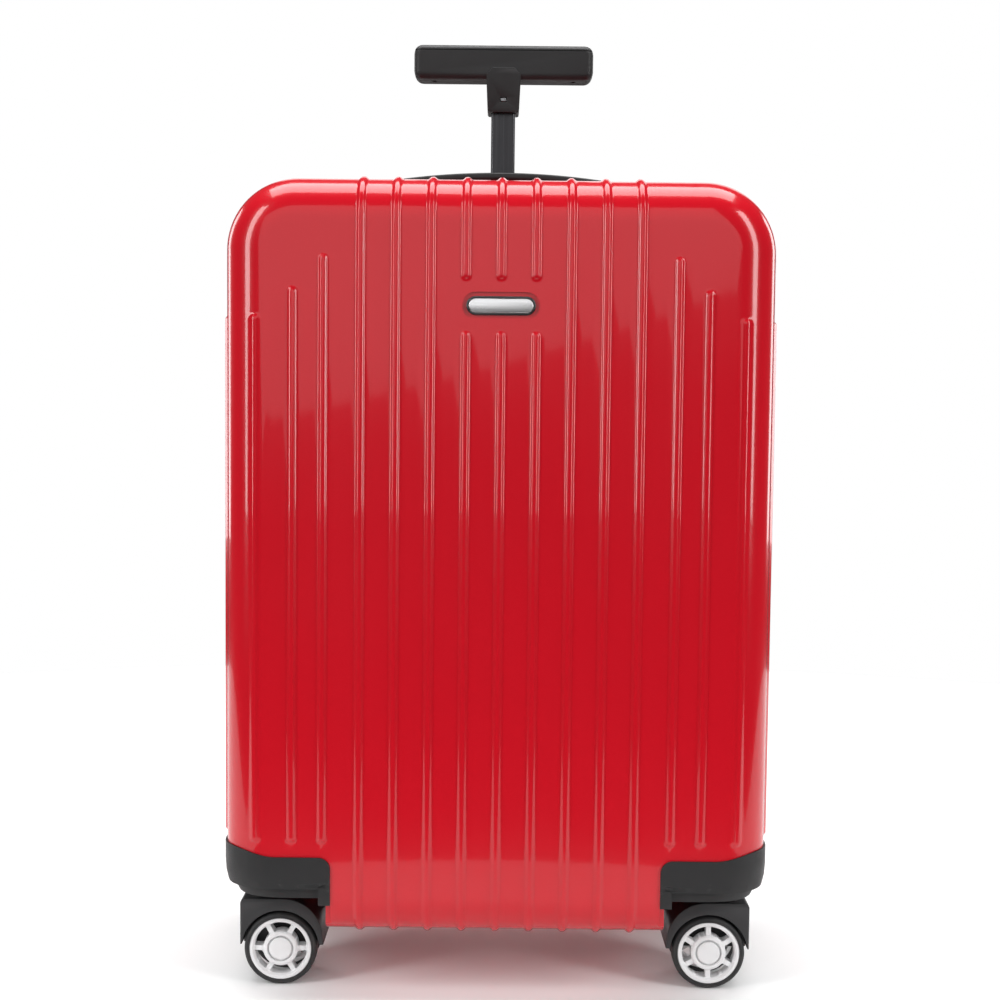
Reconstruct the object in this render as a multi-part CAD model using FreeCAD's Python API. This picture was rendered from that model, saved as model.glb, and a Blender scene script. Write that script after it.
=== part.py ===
"""A cabin-size hard shell suitcase: two ribbed shells hinged at the left, four twin-wheel casters,
a T-shaped trolley handle, two carry handles, a combination lock and a zip.

The origin is on the floor under the middle of the case. +Z is up, +X is to the right seen from
the front, and the front faces -Y. The two shells meet in the plane y = 0.
"""

import FreeCAD, Part
import os
from math import cos, pi, radians, sin

V = FreeCAD.Vector
X, Y, Z = V(1, 0, 0), V(0, 1, 0), V(0, 0, 1)

# The shells
CASE_TOP = 550.0
CASE_BOTTOM = 41.0
RIM_HALF_WIDTH = 184.5
HALF_DEPTH = 112.5
DRAFT = 3.0  # how much each side leans in between the rim and the face
CORNER_RADIUS = 48.0
FACE_ROUNDING = 29.0
WALL = 2.4
LINING = 1.2
CLOTH_GAP = 0.3  # between the shell and the lining, inside the lining's thickness
SEAT_GAP = 0.15  # round each moulding that is let into the shell
RIM_GAP = 0.15  # from the parting plane to each shell's rim

# The ribs
RIB_HEIGHT = 1.8
RIB_WIDTH = 6.3
RIB_PITCH = 22.8
RIB_RIM_CLEAR = 10.0  # the ribs stop this far from the parting plane
CENTRE_RIBS = 4  # on each side of the middle one
OUTER_RIBS = ((115.5, 496.0), (135.5, 475.0), (160.0, 457.0))  # distance from the middle, top end
SIDE_RIB_TOP = 457.0
SIDE_RIBS = 3
RIB_FOOT = 108.0  # the lower end of the ribs over the wheel housings
BADGE_Z = 463.5
BADGE_GAP = (447.0, 480.0)  # the middle three ribs leave this band free
BADGE_SIZE = (45.3, 12.3)
BADGE_PLATE = (41.8, 9.8)
BADGE_POCKET = (50.6, 17.6)
POCKET_DEPTH = 1.0

# The casters
SWIVEL_X = 165.0
SWIVEL_Y = 60.5
TRAIL = 18.0
WHEEL_RADIUS = 25.0
TYRE_INNER = 21.3
WHEEL_WIDTH = 13.0
WHEEL_IN = 8.4  # from the caster's middle to a wheel's inner side
AXLE_RADIUS = 3.0
PIN_RADIUS = 2.9
RUNNING = 0.05
WELL_RADIUS = 51.5
WELL_TOP = 80.3
HOUSING_PROUD = 1.4
HOUSING_INNER = 109.7
HOUSING_LEG = 117.5
HOUSING_REAR = 9.0  # how near the parting plane the housings come
HOUSING_TOP = (98.3, 103.5)
HOUSING_FACE_FOOT = 77.0
CEILING = 70.0
BOSS_FOOT = 66.0

# The trolley handle
HANDLE_Y = 62.5
STOWED = 98.0  # how far the grip is out in the rest pose
TUBE = (18.0, 10.0)
TUBE_WALL = 1.2
STAGE_GAP = 0.4
TUBE_FOOT = 66.0
GRIP_SIZE = (134.0, 24.0)
GRIP_Z = (641.7, 667.4)
COVER_HEIGHT = 4.0
NECK_FOOT = 618.0
TRAY_HALF_WIDTH = 72.0
TRAY_HALF_DEPTH = 15.5
TRAY_WALL = 1.6
BUTTON_TRAVEL = 3.5

# The carry handles
TOP_HANDLE_Y = 21.0
TOP_HANDLE_TOP = 567.5
TOP_HANDLE_HALF = 92.0
TOP_HANDLE_WIDTH = 16.0
SIDE_HANDLE_Y = 62.0
SIDE_HANDLE_Z = (178.0, 322.0)

# The hinge, the zip and the lock
HINGE_X = -187.4
KNUCKLE_RADIUS = 2.6
HINGE_PIN_RADIUS = 1.2
HINGE_HEIGHTS = (150.0, 300.0, 450.0)
HINGE_LENGTH = 40.0
TAPE = 1.2
TAPE_WIDTH = 7.0
LOCK_Y = (9.5, 30.5)
LOCK_Z = (318.0, 398.0)
LOCK_FACE = 188.8
DIAL_RADIUS = 4.7
DIAL_X = 185.2
DIAL_HEIGHTS = (350.0, 358.5, 367.0)
SLIDER_HEIGHTS = {"upper": 424.0, "lower": 292.0}
PULL_PIVOT = 2.6  # from the slider's back to its pull's axle
DIVIDER_HINGE_X = -177.0


def box(x, y, z):
    """A box from three (low, high) pairs."""
    return Part.makeBox(x[1] - x[0], y[1] - y[0], z[1] - z[0], V(x[0], y[0], z[0]))


def rod(radius, start, end):
    """A cylinder from one point to another."""
    start, end = V(*start), V(*end)
    return Part.makeCylinder(radius, (end - start).Length, start, end - start)


def fused(shapes):
    """One solid from several that overlap."""
    shapes = list(shapes)
    return shapes[0].multiFuse(shapes[1:]).removeSplitter()


def half_width(y):
    """The case's half width at depth y."""
    return RIM_HALF_WIDTH - DRAFT * abs(y) / HALF_DEPTH


def case_top(y):
    """The height of the case's top wall at depth y."""
    return CASE_TOP - DRAFT * abs(y) / HALF_DEPTH


def rounded_outline(half, low, high, radius, y):
    """A rounded rectangle's wire, upright at depth y."""
    box_points = [(-half, low), (half, low), (half, high), (-half, high)]
    centres = [(a + radius * (1 if a < 0 else -1), b + radius * (1 if b == low else -1)) for a, b in box_points]
    edges = []
    for i, (cx, cz) in enumerate(centres):
        start = pi + i * pi / 2
        spots = [V(cx + radius * cos(start + t), y, cz + radius * sin(start + t)) for t in (0, pi / 4, pi / 2)]
        edges.append(Part.Arc(*spots).toShape())
    joined = []
    for edge, after in zip(edges, edges[1:] + edges[:1]):
        joined += [edge, Part.makeLine(edge.Vertexes[-1].Point, after.Vertexes[0].Point)]
    return Part.Wire(joined)


def half_form(inset, rim=RIM_GAP):
    """The front half's form as a solid, moved in from the outer surface by inset."""
    sections = []
    for y in (rim, HALF_DEPTH - inset):
        low = CASE_BOTTOM + DRAFT * y / HALF_DEPTH + inset
        outline = rounded_outline(half_width(y) - inset, low, case_top(y) - inset, CORNER_RADIUS - inset, -y)
        sections.append(outline)
    form = Part.makeLoft(sections, True, True)
    face_y = -(HALF_DEPTH - inset)
    rim_edges = [e for e in form.Edges if all(abs(v.Y - face_y) < 1e-6 for v in e.Vertexes)]
    return form.makeFillet(FACE_ROUNDING - inset, rim_edges)


def upright_stadium(x, low, high, width, y):
    """A stadium's prism between two depths: straight sides, round ends."""
    r = width / 2
    middle = box((x - r, x + r), y, (low + r, high - r))
    ends = [rod(r, (x, y[0], z), (x, y[1], z)) for z in (low + r, high - r)]
    return fused([middle] + ends)


def flat_stadium(width, height, z, y):
    """A lying stadium's prism between two depths, on the middle line."""
    r = height / 2
    reach = width / 2 - r
    middle = box((-reach, reach), y, (z - r, z + r))
    ends = [rod(r, (x, y[0], z), (x, y[1], z)) for x in (-reach, reach)]
    return fused([middle] + ends)


def well(side, grow=0.0):
    """The space at a bottom corner that the caster turns in."""
    r = WELL_RADIUS + grow
    top = WELL_TOP + grow
    x, y = side * SWIVEL_X, -SWIVEL_Y
    outside = side * (RIM_HALF_WIDTH + 20)
    parts = [rod(r, (x, y, 0), (x, y, top))]
    parts.append(box(sorted((x, outside)), (-HALF_DEPTH - 20, y + r), (0, top)))
    parts.append(box(sorted((side * (SWIVEL_X - r), outside)), (-HALF_DEPTH - 20, y), (0, top)))
    leg = (-HALF_DEPTH - 20, -HALF_DEPTH + 9 + grow)
    parts.append(box(sorted((side * (HOUSING_INNER - grow), outside)), leg, (0, top)))
    return fused(parts)


def rib_prisms(front):
    """The ribs' outlines, pushed through the case."""
    depth = (-HALF_DEPTH - 10, -RIB_RIM_CLEAR)
    above, below = CASE_TOP + 20, CASE_BOTTOM - 20
    prisms = []
    for i in range(-CENTRE_RIBS, CENTRE_RIBS + 1):
        x = i * RIB_PITCH
        spans = [(below, above)]
        if front and abs(i) < 2:
            spans = [(below, BADGE_GAP[0]), (BADGE_GAP[1], above)]
        prisms += [upright_stadium(x, low, high, RIB_WIDTH, depth) for low, high in spans]
    for distance, top in OUTER_RIBS:
        prisms += [upright_stadium(s * distance, RIB_FOOT, top, RIB_WIDTH, depth) for s in (-1, 1)]
    for i in range(SIDE_RIBS):
        y = -SWIVEL_Y + (i - 1) * RIB_PITCH
        rib = upright_stadium(0, RIB_FOOT, SIDE_RIB_TOP, RIB_WIDTH, (160.0, 200.0))
        rib.rotate(V(0, 0, 0), Z, -90)
        rib.translate(V(0, y, 0))
        prisms += [rib, rib.mirror(V(0, 0, 0), X)]
    return prisms


def ribbed_shell(front):
    """Half of the case, seen as the front one: a thin wall with ribs, open at the parting plane."""
    raised = half_form(-RIB_HEIGHT)
    ribs = [raised.common(prism) for prism in rib_prisms(front)]
    body = half_form(0).multiFuse(ribs)
    inner = half_form(WALL, -1.0)
    for side in (-1, 1):
        body = body.cut(well(side))
        inner = inner.cut(well(side, WALL))
    return body.cut(inner)


def lining(thickness=LINING):
    """The cloth inside one half, a hair clear of the shell."""
    near, far = WALL + CLOTH_GAP, WALL + thickness
    outer, inner = half_form(near), half_form(far, -1.0)
    for side in (-1, 1):
        outer = outer.cut(well(side, near))
        inner = inner.cut(well(side, far))
    return outer.cut(inner)


def housing_outline():
    """The left wheel housing's outline seen from the front, above the well."""
    low, high = HOUSING_TOP
    outer = -RIM_HALF_WIDTH - 15
    r = 8.0
    corner = V(-HOUSING_INNER - r, 0, low - r)
    start, end = V(corner.x, 0, low), V(-HOUSING_INNER, 0, low - r)
    middle = corner + V(r * cos(pi / 4), 0, r * sin(pi / 4))
    dip_a, dip_b = V(-176, 0, high), V(-146, 0, low)
    curve = Part.BezierCurve()
    curve.setPoles([dip_a, V(-163, 0, high), V(-159, 0, low), dip_b])
    points = [V(-HOUSING_INNER, 0, WELL_TOP), V(outer, 0, WELL_TOP), V(outer, 0, high), dip_a]
    edges = [Part.makeLine(a, b) for a, b in zip(points, points[1:])]
    edges += [curve.toShape(), Part.makeLine(dip_b, start), Part.Arc(start, middle, end).toShape()]
    edges.append(Part.makeLine(end, points[0]))
    return Part.Face(Part.Wire(edges))


def wheel_housing():
    """The moulding over the front left corner that holds a caster's swivel pin."""
    depth = HALF_DEPTH + 20 - HOUSING_REAR
    cover = housing_outline().extrude(V(0, depth, 0))
    cover.translate(V(0, -HALF_DEPTH - 20, 0))
    proud = half_form(-HOUSING_PROUD)
    outer = (-RIM_HALF_WIDTH - 15, 0)
    across = (-HALF_DEPTH - 10, -HOUSING_REAR)
    skin = proud.common(cover).cut(half_form(0))
    corner = well(-1, -0.02)
    band = proud.common(corner).common(box(outer, across, (HOUSING_FACE_FOOT, WELL_TOP)))
    skirt = half_form(2.6).common(corner).common(box(outer, across, (CEILING, HOUSING_FACE_FOOT)))
    leg_box = box((-HOUSING_LEG, -HOUSING_INNER), (-HALF_DEPTH - 10, -HALF_DEPTH + 8.7), (BOSS_FOOT, WELL_TOP))
    boss = rod(14.0, (-SWIVEL_X, -SWIVEL_Y, BOSS_FOOT), (-SWIVEL_X, -SWIVEL_Y, CEILING + 1))
    body = fused([skin, band, skirt, proud.common(leg_box), boss])
    return body.cut(rod(PIN_RADIUS + RUNNING, (-SWIVEL_X, -SWIVEL_Y, 0), (-SWIVEL_X, -SWIVEL_Y, WELL_TOP - 1)))


def zip_tape():
    """The front half's zip tape, outside the shell along the top, the right and the bottom."""
    sizes = [(RIM_HALF_WIDTH + g, CASE_BOTTOM - g, CASE_TOP + g, CORNER_RADIUS + g) for g in (0.05, TAPE)]
    inner, outer = [Part.Face(rounded_outline(*size, -RIM_GAP)) for size in sizes]
    ring = outer.cut(inner).extrude(V(0, RIM_GAP - TAPE_WIDTH, 0))
    return ring.cut(box((-RIM_HALF_WIDTH - 10, 0), (-20, 20), (120, 480)))


def hinge_knuckle(low, high, bore):
    """A piece of a hinge's barrel with its leaf, on the rear half."""
    barrel = rod(KNUCKLE_RADIUS, (HINGE_X, 0, low), (HINGE_X, 0, high))
    wall = -half_width(0) - 0.02
    leaf = box((wall - 1.2, wall), (1.0, 14.0), (low, high))
    bridge = box((HINGE_X, wall), (0.6, 2.0), (low, high))
    knuckle = fused([barrel, leaf, bridge])
    return knuckle.cut(rod(bore, (HINGE_X, 0, low), (HINGE_X, 0, high))) if bore else knuckle


def hinge_leaves(front):
    """The three hinges' leaves on one half; the rear ones hold the pins."""
    gap = 0.3
    third = HINGE_LENGTH / 3
    pieces = []
    for z in HINGE_HEIGHTS:
        low = z - HINGE_LENGTH / 2
        if front:
            pieces.append(hinge_knuckle(low + third + gap, low + 2 * third - gap, HINGE_PIN_RADIUS + RUNNING))
            continue
        ends = [hinge_knuckle(a, a + third, 0) for a in (low, low + 2 * third)]
        pin = rod(HINGE_PIN_RADIUS, (HINGE_X, 0, low + 1), (HINGE_X, 0, low + HINGE_LENGTH - 1))
        pieces.append(fused(ends + [pin]))
    leaves = Part.makeCompound(pieces)
    return leaves.mirror(V(0, 0, 0), Y) if front else leaves


def rounded_rod_box(size, centre, z, radius):
    """An upright block of a given (width, depth) about a centre, with rounded upright edges."""
    (w, d), (cx, cy) = size, centre
    block = box((cx - w / 2, cx + w / 2), (cy - d / 2, cy + d / 2), z)
    upright = [e for e in block.Edges if abs(e.tangentAt(e.FirstParameter).z) > 0.9]
    return block.makeFillet(radius, upright)


def stage(step, z):
    """A tube of the trolley handle: step 0 is the innermost one."""
    grow = step * 2 * (TUBE_WALL + STAGE_GAP)
    outer = (TUBE[0] + grow, TUBE[1] + grow)
    inner = (outer[0] - 2 * TUBE_WALL, outer[1] - 2 * TUBE_WALL)
    centre = (0, HANDLE_Y)
    solid = rounded_rod_box(outer, centre, z, 2.0 + step)
    return solid.cut(rounded_rod_box(inner, centre, (z[0] - 1, z[1] + 1), 1.2 + step))


def tray_block(grow):
    """The handle's recess in the top wall: a shallow trough for the bar, a deeper one for the neck."""
    bar_floor = GRIP_Z[0] - STOWED - 1.0 - grow
    neck_floor = NECK_FOOT - STOWED - 3.0 - grow
    top = CASE_TOP + 10
    trough = (2 * (TRAY_HALF_WIDTH + grow), 2 * (TRAY_HALF_DEPTH + grow))
    shallow = rounded_rod_box(trough, (0, HANDLE_Y), (bar_floor, top), 6.0)
    deep = rounded_rod_box((34.0 + 2 * grow, 27.0 + 2 * grow), (0, HANDLE_Y), (neck_floor, top), 5.0)
    return fused([shallow, deep])


def handle_tray():
    """The recess moulding with a thin flange on the top wall."""
    top_form = half_form(-1.0).mirror(V(0, 0, 0), Y)
    flange_size = (2 * TRAY_HALF_WIDTH + 10, 2 * TRAY_HALF_DEPTH + 10)
    flange = rounded_rod_box(flange_size, (0, HANDLE_Y), (500, 560), 8.0)
    lip = top_form.common(flange).cut(half_form(0).mirror(V(0, 0, 0), Y))
    walls = top_form.common(tray_block(TRAY_WALL))
    tube = rounded_rod_box((TUBE[0] + 6.4 + 0.4, TUBE[1] + 6.4 + 0.4), (0, HANDLE_Y), (400, 560), 3.0)
    return fused([lip, walls]).cut(tray_block(0)).cut(tube)


def side_tray_block(grow):
    """The side handle's recess in the right wall."""
    low, high = SIDE_HANDLE_Z
    reach = (RIM_HALF_WIDTH - 19.0 - grow, RIM_HALF_WIDTH + 20)
    block = box(reach, (SIDE_HANDLE_Y - 15 - grow, SIDE_HANDLE_Y + 15 + grow), (low - grow, high + grow))
    along = [e for e in block.Edges if abs(e.tangentAt(e.FirstParameter).x) > 0.9]
    return block.makeFillet(6.0 + grow, along)


def side_tray():
    """The recess moulding behind the side handle."""
    skin = half_form(-0.8).mirror(V(0, 0, 0), Y)
    lip = skin.common(side_tray_block(6.0)).cut(half_form(0).mirror(V(0, 0, 0), Y))
    walls = skin.common(side_tray_block(TRAY_WALL))
    return fused([lip, walls]).cut(side_tray_block(0))


def grip_profile(y):
    """The bar's rounded cross-wise outline, as a wire at depth y from its middle."""
    return rounded_outline(GRIP_SIZE[0] / 2, GRIP_Z[0], GRIP_Z[1], 6.0, y)


def grip_bar():
    """The handle's cross bar with rounded edges."""
    half = GRIP_SIZE[1] / 2
    bar = Part.Face(grip_profile(HANDLE_Y - half)).extrude(V(0, 2 * half, 0))
    ends = [e for e in bar.Edges if abs(e.BoundBox.YLength) < 1e-6]
    return bar.makeFillet(5.0, ends)


def button_slot(grow, z):
    """The push button's outline, set in the top of the bar."""
    return rounded_rod_box((38.0 + 2 * grow, 11.0 + 2 * grow), (0, HANDLE_Y), z, 4.0 + grow)


def grip_body():
    """The bar under its cover, with the neck that clamps the inner tube."""
    top = GRIP_Z[1] - COVER_HEIGHT
    bar = grip_bar().common(box((-100, 100), (0, 200), (0, top)))
    wide, narrow = (26.0, 22.0), (23.5, 20.0)
    sections = []
    for (w, d), z in ((narrow, NECK_FOOT), (wide, GRIP_Z[0] + 4)):
        corners = [V(a * w / 2, HANDLE_Y + b * d / 2, z) for a, b in ((-1, -1), (1, -1), (1, 1), (-1, 1))]
        sections.append(Part.makePolygon(corners + corners[:1]))
    neck = Part.makeLoft(sections, True, True)
    upright = [e for e in neck.Edges if abs(e.tangentAt(e.FirstParameter).z) > 0.9]
    neck = neck.makeFillet(3.5, upright)
    socket = rounded_rod_box(TUBE, (0, HANDLE_Y), (NECK_FOOT - 1, GRIP_Z[0] + 0.3), 2.0)
    screws = [rod(2.2, (s * 52, HANDLE_Y, GRIP_Z[0] - 1), (s * 52, HANDLE_Y, GRIP_Z[0] + 2)) for s in (-1, 1)]
    pin = box((-2.4, 2.4), (HANDLE_Y - 14, HANDLE_Y - 8.6), (625, 629))
    body = fused([bar, neck]).cut(socket).cut(button_slot(0.4, (top - 8.0, top + 1)))
    for hole in screws + [pin]:
        body = body.cut(hole)
    return body


def grip_cover():
    """The bar's top cover, with the button's opening."""
    top = GRIP_Z[1] - COVER_HEIGHT
    return grip_bar().common(box((-100, 100), (0, 200), (top, 700))).cut(button_slot(0.3, (600, 700)))


def grip_button():
    """The push button that frees the handle's stages."""
    return button_slot(0, (GRIP_Z[1] - COVER_HEIGHT - 4.2, GRIP_Z[1] + 0.4))


def bow(half, top, thickness, end_radius, foot, crown):
    """A carry handle's outline in the (along, up) plane: a gently arched bar with turned-down ends."""
    def course(lift):
        r = end_radius - lift
        edge = half - lift
        shoulder = top - crown - lift
        run = V(-edge + r, 0, shoulder), V(0, 0, top - lift), V(edge - r, 0, shoulder)
        left = V(-edge, 0, shoulder - r), V(-edge + r * (1 - cos(pi / 4)), 0, shoulder - r + r * sin(pi / 4))
        right = V(edge, 0, shoulder - r), V(edge - r * (1 - cos(pi / 4)), 0, shoulder - r + r * sin(pi / 4))
        low = V(-edge, 0, foot), V(edge, 0, foot)
        edges = [Part.makeLine(low[0], left[0]), Part.Arc(left[0], left[1], run[0]).toShape()]
        edges += [Part.Arc(*run).toShape(), Part.Arc(run[2], right[1], right[0]).toShape()]
        return edges + [Part.makeLine(right[0], low[1])]
    outer, inner = course(0), course(thickness)
    ends = [Part.makeLine(a, b) for a, b in (
        (V(half, 0, foot), V(half - thickness, 0, foot)),
        (V(thickness - half, 0, foot), V(-half, 0, foot)),
    )]
    return Part.Face(Part.Wire(Part.__sortEdges__(outer + inner + ends)))


def course_edges(bar):
    """A handle's long edges, all but those round its two feet."""
    flat = [e for e in bar.Edges if e.BoundBox.YLength < 1e-6]
    return [e for e in flat if e.BoundBox.ZLength > 1e-3]


def top_handle():
    """The low carry handle on the top wall."""
    face = bow(TOP_HANDLE_HALF, TOP_HANDLE_TOP, 5.0, 9.0, CASE_TOP - 8.0, 4.0)
    bar = face.extrude(V(0, TOP_HANDLE_WIDTH, 0))
    bar.translate(V(0, TOP_HANDLE_Y - TOP_HANDLE_WIDTH / 2, 0))
    return bar.makeFillet(1.6, course_edges(bar))


def handle_ends(grow):
    """The slots that the top handle's ends drop into."""
    y = (TOP_HANDLE_Y - TOP_HANDLE_WIDTH / 2 - grow, TOP_HANDLE_Y + TOP_HANDLE_WIDTH / 2 + grow)
    spans = ((TOP_HANDLE_HALF - 5.0 - grow, TOP_HANDLE_HALF + grow), (-TOP_HANDLE_HALF - grow, 5.0 - TOP_HANDLE_HALF + grow))
    return [box(x, y, (CASE_TOP - 24 - grow, CASE_TOP + 20)) for x in spans]


def top_handle_sockets():
    """The two sockets in the top wall."""
    skin = half_form(-2.6).mirror(V(0, 0, 0), Y)
    sockets = []
    for slot, outer, lip in zip(handle_ends(0.4), handle_ends(2.4), handle_ends(5.0)):
        plate = skin.common(lip).cut(half_form(0).mirror(V(0, 0, 0), Y))
        sockets.append(fused([plate, skin.common(outer)]).cut(slot))
    return Part.makeCompound(sockets)


def side_handle():
    """The recessed carry handle in the right wall."""
    low, high = SIDE_HANDLE_Z
    half = (high - low) / 2 - 4
    face = bow(half, 0, 5.0, 9.0, -16.0, 2.0)
    bar = face.extrude(V(0, 16, 0))
    bar.translate(V(0, -8, 0))
    bar = bar.makeFillet(1.2, course_edges(bar))
    bar.rotate(V(0, 0, 0), Y, 90)
    bar.translate(V(RIM_HALF_WIDTH - 1.5, SIDE_HANDLE_Y, (low + high) / 2))
    return bar


def lock_body(grow):
    """The part of the lock that passes through the right wall."""
    return box((174.0, LOCK_FACE), (LOCK_Y[0] + 2 - grow, LOCK_Y[1] - 2 + grow), (LOCK_Z[0] + 2 - grow, LOCK_Z[1] - 2 + grow))


def lock_housing():
    """The combination lock's case with the dials' axle."""
    plate = box((RIM_HALF_WIDTH - 0.2, LOCK_FACE), LOCK_Y, LOCK_Z)
    front_edges = [e for e in plate.Edges if all(abs(v.X - LOCK_FACE) < 1e-6 for v in e.Vertexes)]
    plate = plate.makeFillet(1.2, front_edges)
    middle = sum(LOCK_Y) / 2
    case = fused([plate, lock_body(0)])
    for z in DIAL_HEIGHTS:
        case = case.cut(box((DIAL_X - 5.4, 200), (middle - 5.3, middle + 5.3), (z - 2.2, z + 2.2)))
    case = case.cut(box((LOCK_FACE - 5.0, 200), (middle - 4.3, middle + 4.3), (377.0, 391.3)))
    case = case.cut(rod(3.6, (LOCK_FACE - 8.0, middle, 332), (200, middle, 332)))
    axle = rod(1.0, (DIAL_X, middle, DIAL_HEIGHTS[0] - 4), (DIAL_X, middle, DIAL_HEIGHTS[-1] + 4))
    return case.fuse(axle)


def lock_dial(z):
    """A number dial, with a finger notch for each of its ten places."""
    middle = sum(LOCK_Y) / 2
    dial = rod(DIAL_RADIUS, (DIAL_X, middle, z - 1.8), (DIAL_X, middle, z + 1.8))
    for i in range(10):
        turn = 2 * pi * i / 10
        x, y = DIAL_X + 5.0 * cos(turn), middle + 5.0 * sin(turn)
        dial = dial.cut(rod(0.6, (x, y, z - 3), (x, y, z + 3)))
    return dial.cut(rod(1.0 + RUNNING, (DIAL_X, middle, z - 3), (DIAL_X, middle, z + 3)))


def lock_release():
    """The slide that lets go of the zip's pulls."""
    middle = sum(LOCK_Y) / 2
    slide = box((LOCK_FACE - 4.6, LOCK_FACE + 0.8), (middle - 4, middle + 4), (377.4, 386.9))
    return slide.makeFillet(0.6, [e for e in slide.Edges if all(v.X > LOCK_FACE for v in e.Vertexes)])


def lock_key():
    """The key's cylinder with its slot."""
    middle = sum(LOCK_Y) / 2
    plug = rod(3.3, (LOCK_FACE - 7.6, middle, 332), (LOCK_FACE + 0.4, middle, 332))
    return plug.cut(box((LOCK_FACE - 2, 200), (middle - 0.5, middle + 0.5), (329.8, 334.2)))


def zip_slider(z):
    """A zip's slider, over the teeth on the right wall."""
    low = RIM_HALF_WIDTH + TAPE + 0.3
    body = box((low, low + 1.4), (-4.5, 4.5), (z - 7, z + 7))
    body = body.makeFillet(2.0, [e for e in body.Edges if abs(e.tangentAt(e.FirstParameter).x) > 0.9])
    axle = rod(0.6, (low + PULL_PIVOT, -3.5, z), (low + PULL_PIVOT, 3.5, z))
    lugs = [box((low + 0.7, low + 3.5), y, (z - 1.4, z + 1.4)) for y in ((-4.0, -3.0), (3.0, 4.0))]
    return body.multiFuse([axle] + lugs)


def zip_pull(z, towards):
    """The pull that turns on its slider and lies against the wall."""
    low = RIM_HALF_WIDTH + TAPE + 0.3
    eye = rod(1.0, (low + PULL_PIVOT, -2.7, z), (low + PULL_PIVOT, 2.7, z))
    reach = sorted((z + towards * 0.8, z + towards * 26))
    blade = box((low + 2.1, low + 3.1), (-2.7, 2.7), reach)
    ends = [e for e in blade.Edges if abs(e.tangentAt(e.FirstParameter).x) > 0.9 and abs(e.Vertexes[0].Z - z) > 20]
    pull = fused([eye, blade.makeFillet(2.2, ends)])
    return pull.cut(rod(0.6 + RUNNING, (low + PULL_PIVOT, -5, z), (low + PULL_PIVOT, 5, z)))


def divider():
    """The zipped panel between the halves, turning at the left."""
    gap = WALL + LINING + 2.0
    right = RIM_HALF_WIDTH - gap - 8
    low, high = CASE_BOTTOM + gap + 6, CASE_TOP - gap - 6
    panel = box((DIVIDER_HINGE_X + 1.0, right), (-0.7, 0.7), (low, high))
    panel = panel.makeFillet(30.0, [e for e in panel.Edges if abs(e.tangentAt(e.FirstParameter).y) > 0.9])
    seam = rod(1.3, (DIVIDER_HINGE_X, 0, low + 40), (DIVIDER_HINGE_X, 0, high - 40))
    return fused([panel, seam])


def caster_fork():
    """A caster's fork about its swivel axis, trailing along +X: web, hub and mudguard."""
    axle = (TRAIL, WHEEL_RADIUS)
    web_half = WHEEL_IN - 1.2
    guard_half = WHEEL_IN + WHEEL_WIDTH
    reach = WHEEL_RADIUS + 1.6
    web = rod(reach + 2, (axle[0], -web_half, axle[1]), (axle[0], web_half, axle[1]))
    web = web.cut(box((-50, 80), (-40, 40), (-20, axle[1] - 1)))
    eye = rod(7.5, (axle[0], -web_half, axle[1]), (axle[0], web_half, axle[1]))
    guard = rod(reach + 3, (axle[0], -guard_half, axle[1]), (axle[0], guard_half, axle[1]))
    guard = guard.cut(rod(reach, (axle[0], -50, axle[1]), (axle[0], 50, axle[1])))
    guard = guard.common(box((-4, 42), (-40, 40), (axle[1] + 8, 80)))
    hub = rod(WHEEL_IN - 0.9, (0, 0, 34), (0, 0, 54))
    collar = rod(9.5, (0, 0, 2 * WHEEL_RADIUS + 1.0), (0, 0, 58))
    fork = fused([web, eye, guard, hub, collar])
    fork = fork.cut(rod(PIN_RADIUS, (0, 0, 44), (0, 0, 60)))
    return fork.cut(rod(AXLE_RADIUS, (axle[0], -40, axle[1]), (axle[0], 40, axle[1])))


def caster_pins():
    """The caster's steel: swivel pin with its washer, and the axle."""
    swivel = rod(PIN_RADIUS, (0, 0, 44), (0, 0, WELL_TOP - 2))
    washer = rod(7.0, (0, 0, 60.0), (0, 0, 62.0))
    half = WHEEL_IN + WHEEL_WIDTH - 1.5
    axle = rod(AXLE_RADIUS, (TRAIL, -half, WHEEL_RADIUS), (TRAIL, half, WHEEL_RADIUS))
    return Part.makeCompound([fused([swivel, washer]), axle])


def wheel_rim(turn):
    """A wheel's rim on the +Y side of the caster, with six windows and a closed cap."""
    inside, outside = WHEEL_IN + 0.3, WHEEL_IN + WHEEL_WIDTH - 0.3
    at = (TRAIL, WHEEL_RADIUS)
    rim = rod(TYRE_INNER, (at[0], inside, at[1]), (at[0], outside, at[1]))
    dish = rod(18.3, (at[0], 0, at[1]), (at[0], 1, at[1])).cut(rod(11.5, (at[0], 0, at[1]), (at[0], 1, at[1])))
    for y in (outside - 3.0, inside - 1.0):
        ring = rod(18.3, (at[0], y, at[1]), (at[0], y + 4.0, at[1]))
        rim = rim.cut(ring.cut(rod(11.5, (at[0], y, at[1]), (at[0], y + 4.0, at[1]))))
    groove = rod(8.6, (at[0], outside - 1.2, at[1]), (at[0], outside + 1, at[1]))
    rim = rim.cut(groove.cut(rod(7.9, (at[0], outside - 2, at[1]), (at[0], outside + 2, at[1]))))
    for i in range(6):
        spoke = radians(60 * i + 30 + turn)
        middle = (at[0] + 14.9 * cos(spoke), at[1] + 14.9 * sin(spoke))
        window = rod(4.6, (middle[0], inside - 1, middle[1]), (middle[0], outside + 1, middle[1]))
        rim = rim.cut(window.common(dish_reach(at)))
    return rim.cut(rod(AXLE_RADIUS + RUNNING, (at[0], 0, at[1]), (at[0], outside - 1.2, at[1])))


def dish_reach(at):
    """The ring between a rim's hub and its outer band."""
    outer = rod(18.2, (at[0], 0, at[1]), (at[0], 40, at[1]))
    return outer.cut(rod(11.6, (at[0], -1, at[1]), (at[0], 41, at[1])))


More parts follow.
